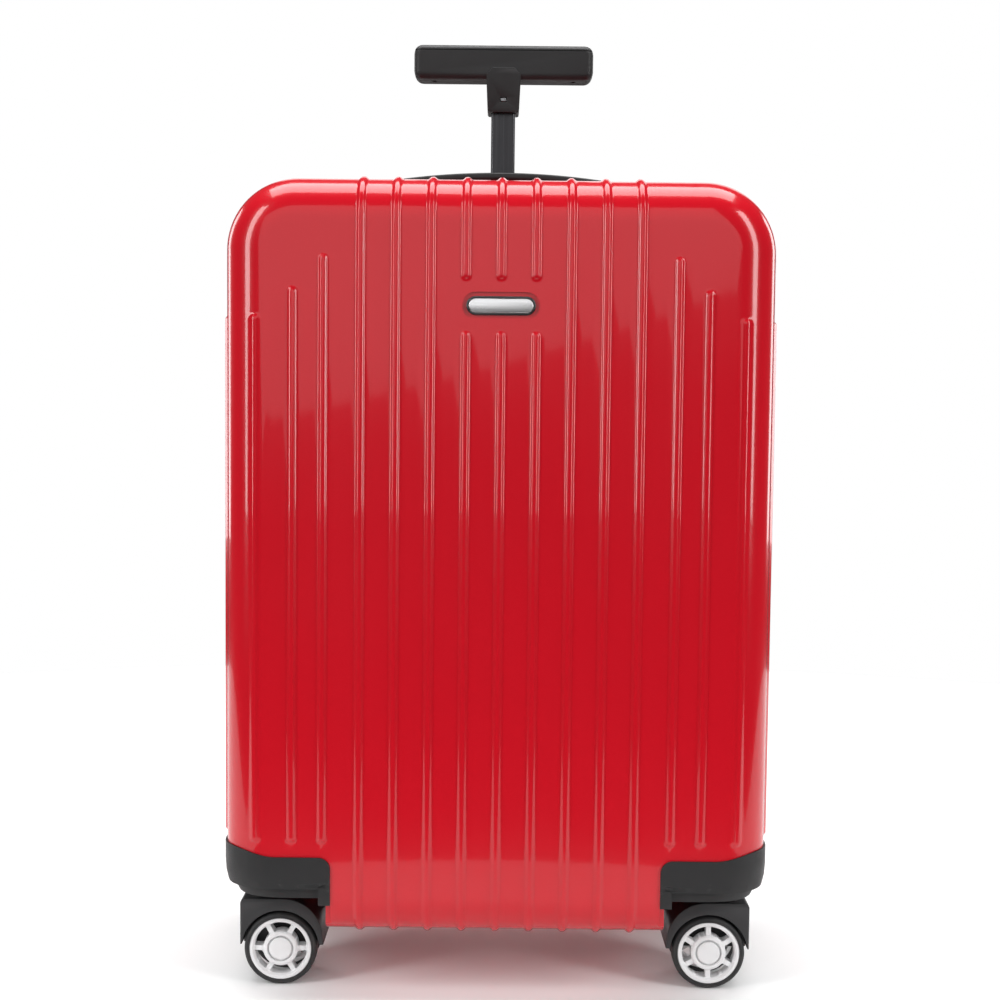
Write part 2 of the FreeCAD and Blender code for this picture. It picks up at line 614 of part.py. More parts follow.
def wheel_tyre():
    """A wheel's tyre on the +Y side of the caster."""
    at = (TRAIL, WHEEL_RADIUS)
    inside, outside = WHEEL_IN, WHEEL_IN + WHEEL_WIDTH
    tyre = rod(WHEEL_RADIUS, (at[0], inside, at[1]), (at[0], outside, at[1]))
    tyre = tyre.makeFillet(2.0, [e for e in tyre.Edges if e.BoundBox.YLength < 1e-6 and e.BoundBox.XLength > 40])
    return tyre.cut(rod(TYRE_INNER, (at[0], 0, at[1]), (at[0], 60, at[1])))


def lip_seats():
    """Where the ribs stop round the mouldings' lips, so that these lie on the wall."""
    grow = 5.0 + 2 * SEAT_GAP
    flange_size = (2 * (TRAY_HALF_WIDTH + grow), 2 * (TRAY_HALF_DEPTH + grow))
    seats = [rounded_rod_box(flange_size, (0, HANDLE_Y), (500, 560), 8.0), side_tray_block(6.0 + 2 * SEAT_GAP)]
    return seats + handle_ends(5.0 + 2 * SEAT_GAP)


def rear(shape):
    """The rear half's copy of a front half's shape."""
    return shape.mirror(V(0, 0, 0), Y)


def placed_caster(shape, side, front):
    """A caster's shape at its corner: front ones trail inwards, rear ones trail backwards."""
    copy = shape.copy()
    heading = (180 if side > 0 else 0) if front else 90
    copy.rotate(V(0, 0, 0), Z, heading)
    copy.translate(V(side * SWIVEL_X, -SWIVEL_Y if front else SWIVEL_Y, 0))
    return copy


def build():
    """Every sub-part by its node's name."""
    nodes = {}
    pocket = flat_stadium(*BADGE_POCKET, BADGE_Z, (-HALF_DEPTH - 5, -HALF_DEPTH + POCKET_DEPTH))
    nodes["front_shell"] = ribbed_shell(True).cut(pocket)
    back = rear(ribbed_shell(False))
    clear = TRAY_WALL + SEAT_GAP
    back = back.cut(tray_block(clear)).cut(side_tray_block(clear)).cut(lock_body(SEAT_GAP))
    above = rear(half_form(0))
    for seat in lip_seats():
        back = back.cut(seat.cut(above))
    for slot in handle_ends(2.4 + SEAT_GAP):
        back = back.cut(slot)
    nodes["rear_shell"] = back
    cloth = lining()
    nodes["front_lining"] = cloth
    back_cloth = rear(cloth).cut(tray_block(clear)).cut(side_tray_block(clear)).cut(lock_body(SEAT_GAP))
    for slot in handle_ends(2.4 + SEAT_GAP):
        back_cloth = back_cloth.cut(slot)
    nodes["rear_lining"] = back_cloth

    housing = wheel_housing()
    tape = zip_tape()
    for name, place in (("front", lambda s: s), ("rear", rear)):
        nodes[f"{name}_housing_left"] = place(housing)
        nodes[f"{name}_housing_right"] = place(housing.mirror(V(0, 0, 0), X))
        nodes[f"{name}_zip_tape"] = place(tape)
        nodes[f"{name}_hinge_leaves"] = hinge_leaves(name == "front")

    face = -HALF_DEPTH + POCKET_DEPTH
    bezel = flat_stadium(*BADGE_SIZE, BADGE_Z, (face - 1.6, face))
    seat = flat_stadium(*BADGE_PLATE, BADGE_Z, (face - 5, face - 0.6))
    nodes["badge_bezel"] = bezel.cut(seat)
    nodes["badge_plate"] = flat_stadium(*BADGE_PLATE, BADGE_Z, (face - 1.9, face - 0.6))

    guide_top = NECK_FOOT - STOWED - 3.0 - TRAY_WALL - 0.1
    guide_foot = CASE_BOTTOM + WALL + LINING + 3.0
    nodes["handle_guide"] = stage(2, (guide_foot, guide_top))
    nodes["handle_middle_tube"] = stage(1, (guide_foot + 2, guide_top))
    nodes["handle_inner_tube"] = stage(0, (TUBE_FOOT + STOWED, GRIP_Z[0]))
    nodes["handle_tray"] = handle_tray()
    nodes["grip_body"] = grip_body()
    nodes["grip_cover"] = grip_cover()
    nodes["grip_button"] = grip_button()

    nodes["top_handle"] = top_handle()
    nodes["top_handle_sockets"] = top_handle_sockets()
    nodes["side_handle"] = side_handle()
    nodes["side_handle_tray"] = side_tray()

    nodes["lock_housing"] = lock_housing()
    for i, z in enumerate(DIAL_HEIGHTS, 1):
        nodes[f"lock_dial_{i}"] = lock_dial(z)
    nodes["lock_release"] = lock_release()
    nodes["lock_key"] = lock_key()
    for name, z in SLIDER_HEIGHTS.items():
        nodes[f"zip_slider_{name}"] = zip_slider(z)
        nodes[f"zip_pull_{name}"] = zip_pull(z, 1 if name == "upper" else -1)
    nodes["divider"] = divider()

    fork, pins, tyre = caster_fork(), caster_pins(), wheel_tyre()
    rims = {turn: wheel_rim(turn) for turn in (0, 30)}
    for side, side_name in ((-1, "left"), (1, "right")):
        for front, row in ((True, "front"), (False, "rear")):
            corner = f"{row}_{side_name}"
            nodes[f"caster_fork_{corner}"] = placed_caster(fork, side, front)
            nodes[f"caster_pins_{corner}"] = placed_caster(pins, side, front)
            for letter, flip in (("a", False), ("b", True)):
                for part, shape in (("rim", rims[0 if side < 0 else 30]), ("tyre", tyre)):
                    shape = shape.mirror(V(0, 0, 0), Y) if flip else shape
                    nodes[f"wheel_{part}_{corner}_{letter}"] = placed_caster(shape, side, front)
    return nodes


def main():
    """Write every sub-part to its own file."""
    os.makedirs("parts", exist_ok=True)
    for name, shape in build().items():
        if not shape.isValid():
            raise ValueError(f"{name} isn't a valid shape")
        shape.exportStep(f"parts/{name}.step")


main()
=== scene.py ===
"""The looks of a hard shell suitcase: ribbed shells, mouldings, casters, handles, zip and lining."""
from contextlib import contextmanager
from math import cos, pi, radians, sin

import bmesh
import bpy
import numpy as np
from mathutils import Matrix, Vector


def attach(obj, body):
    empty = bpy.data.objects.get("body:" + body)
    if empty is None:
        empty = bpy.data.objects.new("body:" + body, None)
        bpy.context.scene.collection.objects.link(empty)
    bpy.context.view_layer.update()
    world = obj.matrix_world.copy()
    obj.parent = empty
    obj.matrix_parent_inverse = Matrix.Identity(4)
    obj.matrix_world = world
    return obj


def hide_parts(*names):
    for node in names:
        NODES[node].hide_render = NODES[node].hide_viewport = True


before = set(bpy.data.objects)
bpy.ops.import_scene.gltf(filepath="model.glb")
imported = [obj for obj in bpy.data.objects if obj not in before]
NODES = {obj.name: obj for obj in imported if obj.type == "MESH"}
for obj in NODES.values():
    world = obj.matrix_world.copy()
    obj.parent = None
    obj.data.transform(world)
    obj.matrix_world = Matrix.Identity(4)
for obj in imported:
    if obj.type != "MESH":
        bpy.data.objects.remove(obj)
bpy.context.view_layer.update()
MM = 0.001

# The case, in millimetres, as the CAD has it
CASE_TOP, CASE_BOTTOM = 550.0, 41.0
RIM_HALF_WIDTH, HALF_DEPTH = 184.5, 112.5
DRAFT = 3.0
CORNER_RADIUS, FACE_ROUNDING = 48.0, 29.0
WALL = 2.4
RIM_GAP = 0.15
RIB_HEIGHT, RIB_WIDTH, RIB_PITCH = 1.8, 6.3, 22.8
RIB_EDGE = 2.9  # how far a rib's side takes to rise
RIB_RIM_CLEAR = 10.0
CENTRE_RIBS = 4
OUTER_RIBS = ((115.5, 496.0), (135.5, 475.0), (160.0, 457.0))
SIDE_RIB_TOP, RIB_FOOT = 457.0, 108.0
SIDE_RIB_DEPTHS = (37.7, 60.5, 83.3)
BADGE_Z = 463.5
BADGE_GAP = (447.0, 480.0)
BADGE_POCKET = (50.6, 17.6, 1.0)
SWIVEL_X, SWIVEL_Y = 165.0, 60.5
WELL_RADIUS, WELL_TOP = 51.5, 80.3
HOUSING_INNER, HOUSING_REAR = 109.7, 9.0
HANDLE_Y = 62.5  # the telescope's middle
CROWN = 0.9  # how far the front and back faces bulge


# ---- camera and stage

def linked(name, data):
    """A new object in the scene."""
    obj = bpy.data.objects.new(name, data)
    bpy.context.scene.collection.objects.link(obj)
    return obj


def set_camera():
    """The camera in front of the case, a little below its middle, looking slightly down."""
    data = bpy.data.cameras.new("camera")
    data.sensor_width, data.lens = 36.0, 55.2
    camera = linked("camera", data)
    turn = Matrix.Rotation(radians(90 - 3.64), 4, "X") @ Matrix.Rotation(radians(0.6), 4, "Z")
    camera.matrix_world = Matrix.Translation((0.0006, -1.1125, 0.4009)) @ turn
    bpy.context.scene.camera = camera


def area_light(name, place, target, size, power, roll=0.0):
    """A rectangular softbox that faces target."""
    data = bpy.data.lights.new(name, "AREA")
    data.shape = "RECTANGLE"
    data.size, data.size_y = size
    data.energy = power
    light = linked(name, data)
    light.location = place
    aim = (Vector(target) - Vector(place)).to_track_quat("-Z", "Y").to_matrix()
    light.rotation_euler = (aim @ Matrix.Rotation(radians(roll), 3, "Z")).to_euler()


def set_stage():
    """An oval patch of pale floor, soft lights, and surroundings that are white but give little light."""
    bm = bmesh.new()
    centre = bm.verts.new((0, 0.4, 0))
    rings = []
    for reach in (0.15, 0.3, 0.45, 0.6, 0.82):
        angles = np.linspace(0, 2 * pi, 65)[:-1]
        rings.append([bm.verts.new((1.6 * reach * cos(a), 0.4 + reach * sin(a), 0)) for a in angles])
    for i in range(64):
        bm.faces.new((centre, rings[0][i], rings[0][(i + 1) % 64]))
        for a, b in zip(rings, rings[1:]):
            bm.faces.new((a[i], a[(i + 1) % 64], b[(i + 1) % 64], b[i]))
    floor = object_from(bm, "stage_floor")
    floor.data.materials.append(plain_material("stage_paper", (0.93, 0.93, 0.93), 0.75))
    world = bpy.data.worlds.new("studio")
    world.use_nodes = True
    tree = world.node_tree
    strength = tree.nodes.new("ShaderNodeMath")
    strength.operation = "MULTIPLY_ADD"
    strength.inputs[1].default_value, strength.inputs[2].default_value = 0.92, 0.08
    tree.links.new(tree.nodes.new("ShaderNodeLightPath").outputs["Is Camera Ray"], strength.inputs[0])
    background = tree.nodes["Background"]
    background.inputs["Color"].default_value = (1, 1, 1, 1)
    tree.links.new(strength.outputs[0], background.inputs["Strength"])
    bpy.context.scene.world = world
    bpy.context.scene.view_settings.view_transform = "Standard"
    for side in (-1, 1):
        area_light("front_strip", (side * 1.5, -1.0, 1.05), (0, 0, 0.5), (0.42, 1.8), 24)
        area_light("rear_strip", (side * 1.7, 1.3, 0.8), (0, 0, 0.38), (0.5, 1.4), 9)
    area_light("top_box", (0, 0.15, 2.2), (0, 0.1, 0.3), (2.2, 1.2), 54)
    area_light("front_card", (-0.35, -3.2, 1.62), (-0.1, 0, 0.5), (3.0, 2.4), 30, 16.0)
    area_light("rear_card", (0.3, 3.2, 1.6), (0, 0, 0.5), (2.6, 2.4), 26)


# ---- mesh helpers

def object_from(bm, name):
    """A new object from a bmesh whose points are in metres."""
    mesh = bpy.data.meshes.new(name)
    bmesh.ops.recalc_face_normals(bm, faces=bm.faces)
    bm.to_mesh(mesh)
    bm.free()
    return linked(name, mesh)


def smooth(obj, angle=35.0):
    """Smooth shading, with edges sharper than angle kept."""
    obj.data.shade_smooth()
    obj.data.set_sharp_from_angle(angle=radians(angle))
    return obj


def applied(obj):
    """obj with its modifiers made part of its mesh."""
    result = obj.evaluated_get(bpy.context.evaluated_depsgraph_get())
    mesh = bpy.data.meshes.new_from_object(result)
    obj.modifiers.clear()
    old, obj.data = obj.data, mesh
    bpy.data.meshes.remove(old)
    return obj


def boolean(obj, cutter, operation):
    """obj with cutter taken away, added or kept in common."""
    modifier = obj.modifiers.new("boolean", "BOOLEAN")
    modifier.object, modifier.operation, modifier.solver = cutter, operation, "EXACT"
    bpy.context.view_layer.update()
    applied(obj)
    bpy.data.objects.remove(cutter)
    return obj


def cut(obj, *cutters):
    """obj with each cutter taken away."""
    for cutter in cutters:
        boolean(obj, cutter, "DIFFERENCE")
    return obj


def add(obj, *pieces):
    """obj with each piece made one with it."""
    for piece in pieces:
        boolean(obj, piece, "UNION")
    return obj


@contextmanager
def editing(obj):
    """obj's mesh as a bmesh, which goes back into it at the end."""
    bm = bmesh.new()
    bm.from_mesh(obj.data)
    yield bm
    bm.to_mesh(obj.data)
    bm.free()


def skin(bm, rings, closed=False):
    """Faces from each ring to the next, and over both ends unless the rings close on themselves."""
    pairs = list(zip(rings, rings[1:])) + ([(rings[-1], rings[0])] if closed else [])
    for a, b in pairs:
        for i in range(len(a)):
            j = (i + 1) % len(a)
            bm.faces.new((a[i], a[j], b[j], b[i]))
    if not closed:
        bm.faces.new(rings[0])
        bm.faces.new(rings[-1])


def ring_at(bm, points, axis, level, centre=(0, 0, 0)):
    """New vertices from 2D points in mm about centre, at a level along axis (0, 1 or 2)."""
    ring = []
    for point in points:
        place = list(point)
        place.insert(axis, level)
        ring.append(bm.verts.new([(c + o) * MM for c, o in zip(place, centre)]))
    return ring


def prism(name, outline, axis, low, high):
    """A closed prism: an outline pushed from low to high along axis."""
    bm = bmesh.new()
    rings = [ring_at(bm, outline, axis, level) for level in (low, high)]
    count = len(outline)
    bm.faces.new(rings[0])
    bm.faces.new(rings[1])
    for i in range(count):
        j = (i + 1) % count
        bm.faces.new((rings[0][i], rings[0][j], rings[1][j], rings[1][i]))
    return object_from(bm, name)


def arc(centre, radius, start, end, steps):
    """Points on an arc between two angles in degrees, both ends included."""
    angles = np.radians(np.linspace(start, end, steps + 1))
    return [(centre[0] + radius * cos(a), centre[1] + radius * sin(a)) for a in angles]


def stadium(centre, width, height, steps=16):
    """A lying stadium's outline."""
    r = height / 2
    reach = width / 2 - r
    right = arc((centre[0] + reach, centre[1]), r, -90, 90, steps)
    return right + arc((centre[0] - reach, centre[1]), r, 90, 270, steps)


def rise(t):
    """A smooth step from 0 to 1."""
    t = np.clip(t, 0, 1)
    return t * t * (3 - 2 * t)


# ---- the shells' form

def with_windows(low, high, step, centres, reach, fine):
    """Even stations from low to high, finer within reach of each centre."""
    points = list(np.arange(low, high, step)) + [high]
    points = [p for p in points if all(abs(p - c) > reach for c in centres) or p in (low, high)]
    for c in centres:
        points += [c + o for o in np.arange(-reach, reach + 1e-6, fine) if low < c + o < high]
    points = sorted(points)
    kept = [points[0]]
    kept += [p for p, before in zip(points[1:], points[:-1]) if p - before > 0.25]
    return kept


def stadium_distance(across, along, low, high, half):
    """The distance to a standing stadium's edge, negative inside."""
    nearest = np.clip(along, low + half, high - half)
    return np.hypot(across, along - nearest) - half


def rib_height(x, y, z, front):
    """How far the ribs raise the surface at these places."""
    half = RIB_WIDTH / 2
    distance = np.full(x.shape, 99.0)
    for i in range(-CENTRE_RIBS, CENTRE_RIBS + 1):
        spans = [(-500.0, 1500.0)]
        if front and abs(i) < 2:
            spans = [(-500.0, BADGE_GAP[0]), (BADGE_GAP[1], 1500.0)]
        for low, high in spans:
            distance = np.minimum(distance, stadium_distance(x - i * RIB_PITCH, z, low, high, half))
    for place, top in OUTER_RIBS:
        distance = np.minimum(distance, stadium_distance(np.abs(x) - place, z, RIB_FOOT, top, half))
    sides = np.full(x.shape, 99.0)
    for depth in SIDE_RIB_DEPTHS:
        sides = np.minimum(sides, stadium_distance(np.abs(y) - depth, z, RIB_FOOT, SIDE_RIB_TOP, half))
    distance = np.where(np.abs(x) > 158.0, np.minimum(distance, sides), distance)
    height = RIB_HEIGHT * rise((0.5 - distance) / RIB_EDGE)
    if not front:
        depth = np.abs(y)
        lips = (
            (np.where(x > 160, depth, 999), z, (62.0, 21.4), (250.0, 78.4)),
            (np.where(z > 535, depth, 999), x, (62.5, 20.9), (0.0, 77.4)),
            (np.where(z > 535, depth, 999), np.abs(x), (21.0, 13.6), (89.5, 8.0)),
        )
        for a, b, (place_a, half_a), (place_b, half_b) in lips:
            away = np.maximum(np.abs(a - place_a) - half_a, np.abs(b - place_b) - half_b)
            height = height * rise(away / 3.0)
    return height * rise((np.abs(y) - RIB_RIM_CLEAR) / 3.0)


def outline_stations(fine):
    """The stations round the outline: (side, straight coordinate or None, corner angle)."""
    rib_places = [i * RIB_PITCH for i in range(-CENTRE_RIBS, CENTRE_RIBS + 1)]
    rib_places += [s * OUTER_RIBS[0][0] for s in (-1, 1)]
    ends = sorted({*BADGE_GAP, *(top for _, top in OUTER_RIBS), RIB_FOOT + 4})
    if fine:
        across = with_windows(-133.0, 133.0, 6.0, rib_places, 4.05, 0.81)
        finer = [s * x for s in (-1, 1) for x in np.arange(128.2, 133.1, 0.8)]
        across = sorted([x for x in across if abs(x) < 127.5] + finer)
        up = with_windows(96.0, 496.5, 7.0, ends, 5.0, 1.0)
    else:
        across = list(np.linspace(-133, 133, 14))
        up = list(np.linspace(96, 496.5, 16))
    angles = list(np.radians(np.linspace(0, 45, 17 if fine else 6)))
    return across, up, angles


def side_points(straight, angles, half, radius, middle):
    """One side's stations along it, how far they fall back from it, and their normals' angles."""
    bend = [(radius * sin(a), radius * (1 - cos(a)), a) for a in angles]
    points = [(middle - half - along, fall, -a) for along, fall, a in reversed(bend)]
    points += [(place, 0.0, 0.0) for place in straight]
    points += [(middle + half + along, fall, a) for along, fall, a in bend]
    return np.array(points).T


def outline_ring(stations, depth, moved):
    """The four sides' points and outward normals, (x, z, nx, nz), at a depth and moved in."""
    across, up, angles = stations
    lean_in = DRAFT * depth / HALF_DEPTH + moved
    half, low, high = RIM_HALF_WIDTH - lean_in, CASE_BOTTOM + lean_in, CASE_TOP - lean_in
    radius = CORNER_RADIUS - moved
    middle = (low + high) / 2
    ax, fall_x, lean_x = side_points(across, angles, half - radius, radius, 0.0)
    az, fall_z, lean_z = side_points(up, angles, (high - low) / 2 - radius, radius, middle)
    top = np.column_stack([ax, high - fall_x, np.sin(lean_x), np.cos(lean_x)])
    bottom = np.column_stack([ax, low + fall_x, np.sin(lean_x), -np.cos(lean_x)])
    right = np.column_stack([half - fall_z, az, np.cos(lean_z), np.sin(lean_z)])
    left = np.column_stack([fall_z - half, az, -np.cos(lean_z), np.sin(lean_z)])
    return top, right, bottom, left


def round_ring(sides):
    """The four sides as one closed loop, clockwise from the top left, each corner once."""
    top, right, bottom, left = sides
    return np.concatenate([top[:-1], right[:0:-1], bottom[:0:-1], left[:-1]])


def half_form(name, inset, rim, ribs=None):
    """The front half's form as a closed solid from the rim's depth on. ribs is None, "front" or "rear"."""
    fine = ribs is not None
    stations = outline_stations(fine)
    rounding = FACE_ROUNDING - inset
    shoulder = HALF_DEPTH - inset - rounding
    if fine:
        depths = with_windows(rim, shoulder, 7.0, (RIB_RIM_CLEAR + 1.5,) + SIDE_RIB_DEPTHS, 4.05, 0.9)
        turns = np.linspace(0, pi / 2, 34)[1:]
    else:
        depths = list(np.linspace(rim, shoulder, 5))
        turns = np.linspace(0, pi / 2, 9)[1:]
    courses = [(depth, inset, 0.0) for depth in depths]
    courses += [(shoulder + rounding * sin(t), inset + rounding * (1 - cos(t)), t) for t in turns]
    places, normals = [], []
    for depth, moved, turn in courses:
        x, z, out_x, out_z = round_ring(outline_ring(stations, min(depth, shoulder), moved)).T
        places.append(np.column_stack([x, np.full(len(x), -depth), z]))
        normals.append(np.column_stack([out_x * cos(turn), np.full(len(x), -sin(turn)), out_z * cos(turn)]))
    grid = face_grid(*outline_ring(stations, shoulder, inset + rounding), len(stations[2]))
    rows, columns = grid.shape[:2]
    level = np.full(rows * columns, -(HALF_DEPTH - inset))
    face = np.column_stack([grid[..., 0].ravel(), level, grid[..., 1].ravel()])
    face_out = np.tile((0.0, -1.0, 0.0), (len(face), 1))
    points = np.concatenate(places + [face])
    outward = np.concatenate(normals + [face_out])
    lift = np.zeros(len(points))
    if ribs:
        lift = rib_height(points[:, 0], points[:, 1], points[:, 2], ribs == "front")
    points = points + outward * lift[:, None]
    x, _, z = points.T
    reach = np.clip(1 - (x / 150) ** 2, 0, 1) * np.clip(1 - ((z - 300) / 225) ** 2, 0, 1)
    points[:, 1] -= np.where(points[:, 1] < -shoulder, CROWN * reach, 0)
    return mesh_of_form(name, points, len(places), len(places[0]), rows, columns)


def face_grid(top, right, bottom, left, angles):
    """Points over the flat of the face, straight inside and following the outline at its edge."""
    columns, rows = len(top), len(left)
    ramp_x, ramp_z = np.zeros(columns), np.zeros(rows)
    ease = np.sin(np.linspace(pi / 2, 0, angles))
    ramp_x[:angles], ramp_x[-angles:] = ease, ease[::-1]
    ramp_z[:angles], ramp_z[-angles:] = ease, ease[::-1]
    grid = np.zeros((rows, columns, 2))
    near_left, near_low = np.arange(columns) < columns / 2, np.arange(rows)[:, None] < rows / 2
    bend_x = np.where(near_left, left[:, :1] - left[0, 0], right[:, :1] - right[0, 0])
    bend_z = np.where(near_low, bottom[:, 1] - bottom[0, 1], top[:, 1] - top[0, 1])
    grid[..., 0] = top[:, 0] + ramp_x * bend_x
    grid[..., 1] = left[:, 1:2] + ramp_z[:, None] * bend_z
    return grid


def mesh_of_form(name, points, rings, around, rows, columns):
    """Joins the rings, the face's grid and a flat cap at the rim into a closed mesh."""
    faces = []
    for r in range(rings - 1):
        for i in range(around):
            j = (i + 1) % around
            faces.append((r * around + i, r * around + j, (r + 1) * around + j, (r + 1) * around + i))
    base = rings * around
    grid = base + np.arange(rows * columns).reshape(rows, columns)
    for low, high in zip(grid, grid[1:]):
        for i in range(columns - 1):
            faces.append((low[i], high[i], high[i + 1], low[i + 1]))
    edge = [*grid[-1, :-1], *grid[:0:-1, -1], *grid[0, :0:-1], *grid[:-1, 0]]
    faces.append(tuple(range(around)))
    mesh = bpy.data.meshes.new(name)
    mesh.from_pydata((points * MM).tolist(), [], [[int(i) for i in face] for face in faces])
    bm = bmesh.new()
    bm.from_mesh(mesh)
    bpy.data.meshes.remove(mesh)
    bm.verts.ensure_lookup_table()
    targets = {bm.verts[int(a)]: bm.verts[(rings - 1) * around + k] for k, a in enumerate(edge)}
    bmesh.ops.weld_verts(bm, targetmap=targets)
    return object_from(bm, name)


def well_outline(grow=0.0):
    """The front left caster's well seen from above."""
    r = WELL_RADIUS + grow
    far_x, far_y = -RIM_HALF_WIDTH - 20, -HALF_DEPTH - 20
    near_x, leg = grow - HOUSING_INNER, -HALF_DEPTH + 9 + grow
    points = [(far_x, -SWIVEL_Y + r)] + arc((-SWIVEL_X, -SWIVEL_Y), r, 90, 0, 24)
    return points + [(r - SWIVEL_X, leg), (near_x, leg), (near_x, far_y), (far_x, far_y)]


def wells(grow=0.0):
    """Both front wells as one cutter."""
    outline = well_outline(grow)
    left = prism("well_left", outline, 2, -10.0, WELL_TOP + grow)
    right = prism("well_right", [(-x, y) for x, y in outline], 2, -10.0, WELL_TOP + grow)
    return joined([left, right], "wells")


def joined(objects, name):
    """Several meshes as one object."""
    bm = bmesh.new()
    for obj in objects:
        bm.from_mesh(obj.data)
        bpy.data.objects.remove(obj)
    return object_from(bm, name)


def box_cutter(name, x, y, z):
    """A box from three (low, high) pairs in mm."""
    return prism(name, [(x[0], y[0]), (x[1], y[0]), (x[1], y[1]), (x[0], y[1])], 2, *z)


def rounded_rect(centre, width, height, radius, steps=6):
    """A rounded rectangle's outline."""
    points = []
    for i, (sx, sy) in enumerate(((1, 1), (-1, 1), (-1, -1), (1, -1))):
        corner = (centre[0] + sx * (width / 2 - radius), centre[1] + sy * (height / 2 - radius))
        points += arc(corner, radius, 90 * i, 90 * i + 90, steps)
    return points


def make_shell(front):
    """One ribbed shell with its wells, its hollow and its openings."""
    kind = "front" if front else "rear"
    shell = cut(half_form(f"{kind}_half_shell", 0.0, RIM_GAP, kind), wells())
    cut(shell, cut(half_form("hollow", WALL, -1.0), wells(WALL)))
    if front:
        width, height, depth = BADGE_POCKET
        outline = stadium((0, BADGE_Z), width, height)
        cut(shell, prism("pocket", outline, 1, -HALF_DEPTH - 9, -HALF_DEPTH + depth))
    else:
        cut(mirror_in_place(shell), *rear_openings())
    ready(shell, f"{kind}_half_shell", "shell", f"{kind}_half", [f"{kind}_shell"], "shell", 32)


def mirror_in_place(obj):
    """obj on the other side of y = 0."""
    obj.data.transform(flip(1))
    obj.data.flip_normals()
    return obj


def rear_openings():
    """Cutters for the handle recess, the side handle, the lock and the top handle's ends."""
    yield prism("trough", rounded_rect((0, HANDLE_Y), 147.2, 34.2, 6), 2, 540.0, 570.0)
    yield prism("side_recess", rounded_rect((62.0, 250.0), 33.2, 147.2, 7.6), 0, 150.0, 210.0)
    yield box_cutter("lock_hole", (150, 210), (11.5, 28.5), (320, 396))
    for side in (-1, 1):
        yield box_cutter("handle_end", sorted((side * 84.6, side * 94.4)), (10.6, 31.4), (520, 580))


# ---- materials

MATERIALS = {}


class Finish:
    """A Principled material with procedural detail."""

    def __init__(self, name, colour, roughness, metallic=0.0, **sockets):
        self.material = bpy.data.materials.new(name)
        self.material.use_nodes = True
        self.tree = self.material.node_tree
        self.shader = self.tree.nodes["Principled BSDF"]
        self.colour, self.roughness = (*colour, 1), roughness
        self.shader.inputs["Base Color"].default_value = self.colour
        self.shader.inputs["Roughness"].default_value = roughness
        self.shader.inputs["Metallic"].default_value = metallic
        for key, value in sockets.items():
            self.shader.inputs[key.replace("_", " ")].default_value = value
        self.place = self.tree.nodes.new("ShaderNodeTexCoord").outputs["Object"]
        self.bump = None
        MATERIALS[name] = self.material

    def node(self, kind, values=(), **settings):
        """A new node with its settings and its input values."""
        made = self.tree.nodes.new(kind)
        for key, value in settings.items():
            setattr(made, key, value)
        for key, value in dict(values).items():
            made.inputs[key].default_value = value
        return made

    def link(self, a, b):
        """Joins an output to an input."""
        self.tree.links.new(a, b)

    def noise(self, scale, detail=3.0, rough=0.5, stretch=(1, 1, 1)):
        """Noise at that many features a metre, stretched along the axes."""
        mapping = self.node("ShaderNodeMapping", {"Scale": stretch})
        self.link(self.place, mapping.inputs["Vector"])
        made = self.node("ShaderNodeTexNoise", {"Scale": scale, "Detail": detail, "Roughness": rough})
        self.link(mapping.outputs["Vector"], made.inputs["Vector"])
        return made.outputs["Fac"]

    def range(self, value, low, high, start=0.3, end=0.7):
        """value, from start to end, spread over low to high."""
        ends = {"From Min": start, "From Max": end, "To Min": low, "To Max": high}
        made = self.node("ShaderNodeMapRange", ends)
        self.link(value, made.inputs["Value"])
        return made.outputs["Result"]

    def mix(self, factor, a, b):
        """Between two colours."""
        made = self.node("ShaderNodeMix", data_type="RGBA")
        self.link(factor, made.inputs["Factor"])
        for spot, value in ((6, a), (7, b)):
            if isinstance(value, tuple):
                made.inputs[spot].default_value = (*value[:3], 1)
            else:
                self.link(value, made.inputs[spot])
        return made.outputs[2]

    def vary_colour(self, factor, other):
        """The colour moves towards another by factor."""
        current = self.shader.inputs["Base Color"]
        source = current.links[0].from_socket if current.links else tuple(current.default_value)
        self.link(self.mix(factor, source, other), current)

    def vary_roughness(self, value):
        """The roughness follows value."""
        self.link(value, self.shader.inputs["Roughness"])

    def raise_by(self, value, strength, distance):
        """Adds a layer of relief."""
        made = self.node("ShaderNodeBump", {"Strength": strength, "Distance": distance})
        self.link(value, made.inputs["Height"])
        if self.bump:
            self.link(self.bump, made.inputs["Normal"])
        self.bump = made.outputs["Normal"]
        self.link(self.bump, self.shader.inputs["Normal"])


def plain_material(name, colour, roughness):
    """Paper for the stage."""
    paper = Finish(name, colour, roughness)
    paper.raise_by(paper.noise(40, 4), 0.05, 0.002)
    return paper.material


def moulded(name, colour, roughness, grain, depth):
    """Matte moulded plastic: a fine spark-eroded grain, with rubbed edges."""
    plastic = Finish(name, colour, roughness)
    plastic.shader.inputs["Specular IOR Level"].default_value = 0.3
    plastic.raise_by(plastic.noise(grain, 4, 0.65), depth, 0.0004)
    plastic.vary_roughness(plastic.range(plastic.noise(60, 4), roughness - 0.06, roughness + 0.09))
    lighter = tuple(min(1, c * 1.35 + 0.004) for c in colour)
    plastic.vary_colour(plastic.range(plastic.noise(25, 5, 0.6), 0.0, 0.35), lighter)
    edges = plastic.node("ShaderNodeNewGeometry").outputs["Pointiness"]
    rubbed = tuple(c * 1.5 + 0.01 for c in colour)
    plastic.vary_colour(plastic.range(edges, 0.0, 1.0, 0.56, 0.7), rubbed)
    return plastic


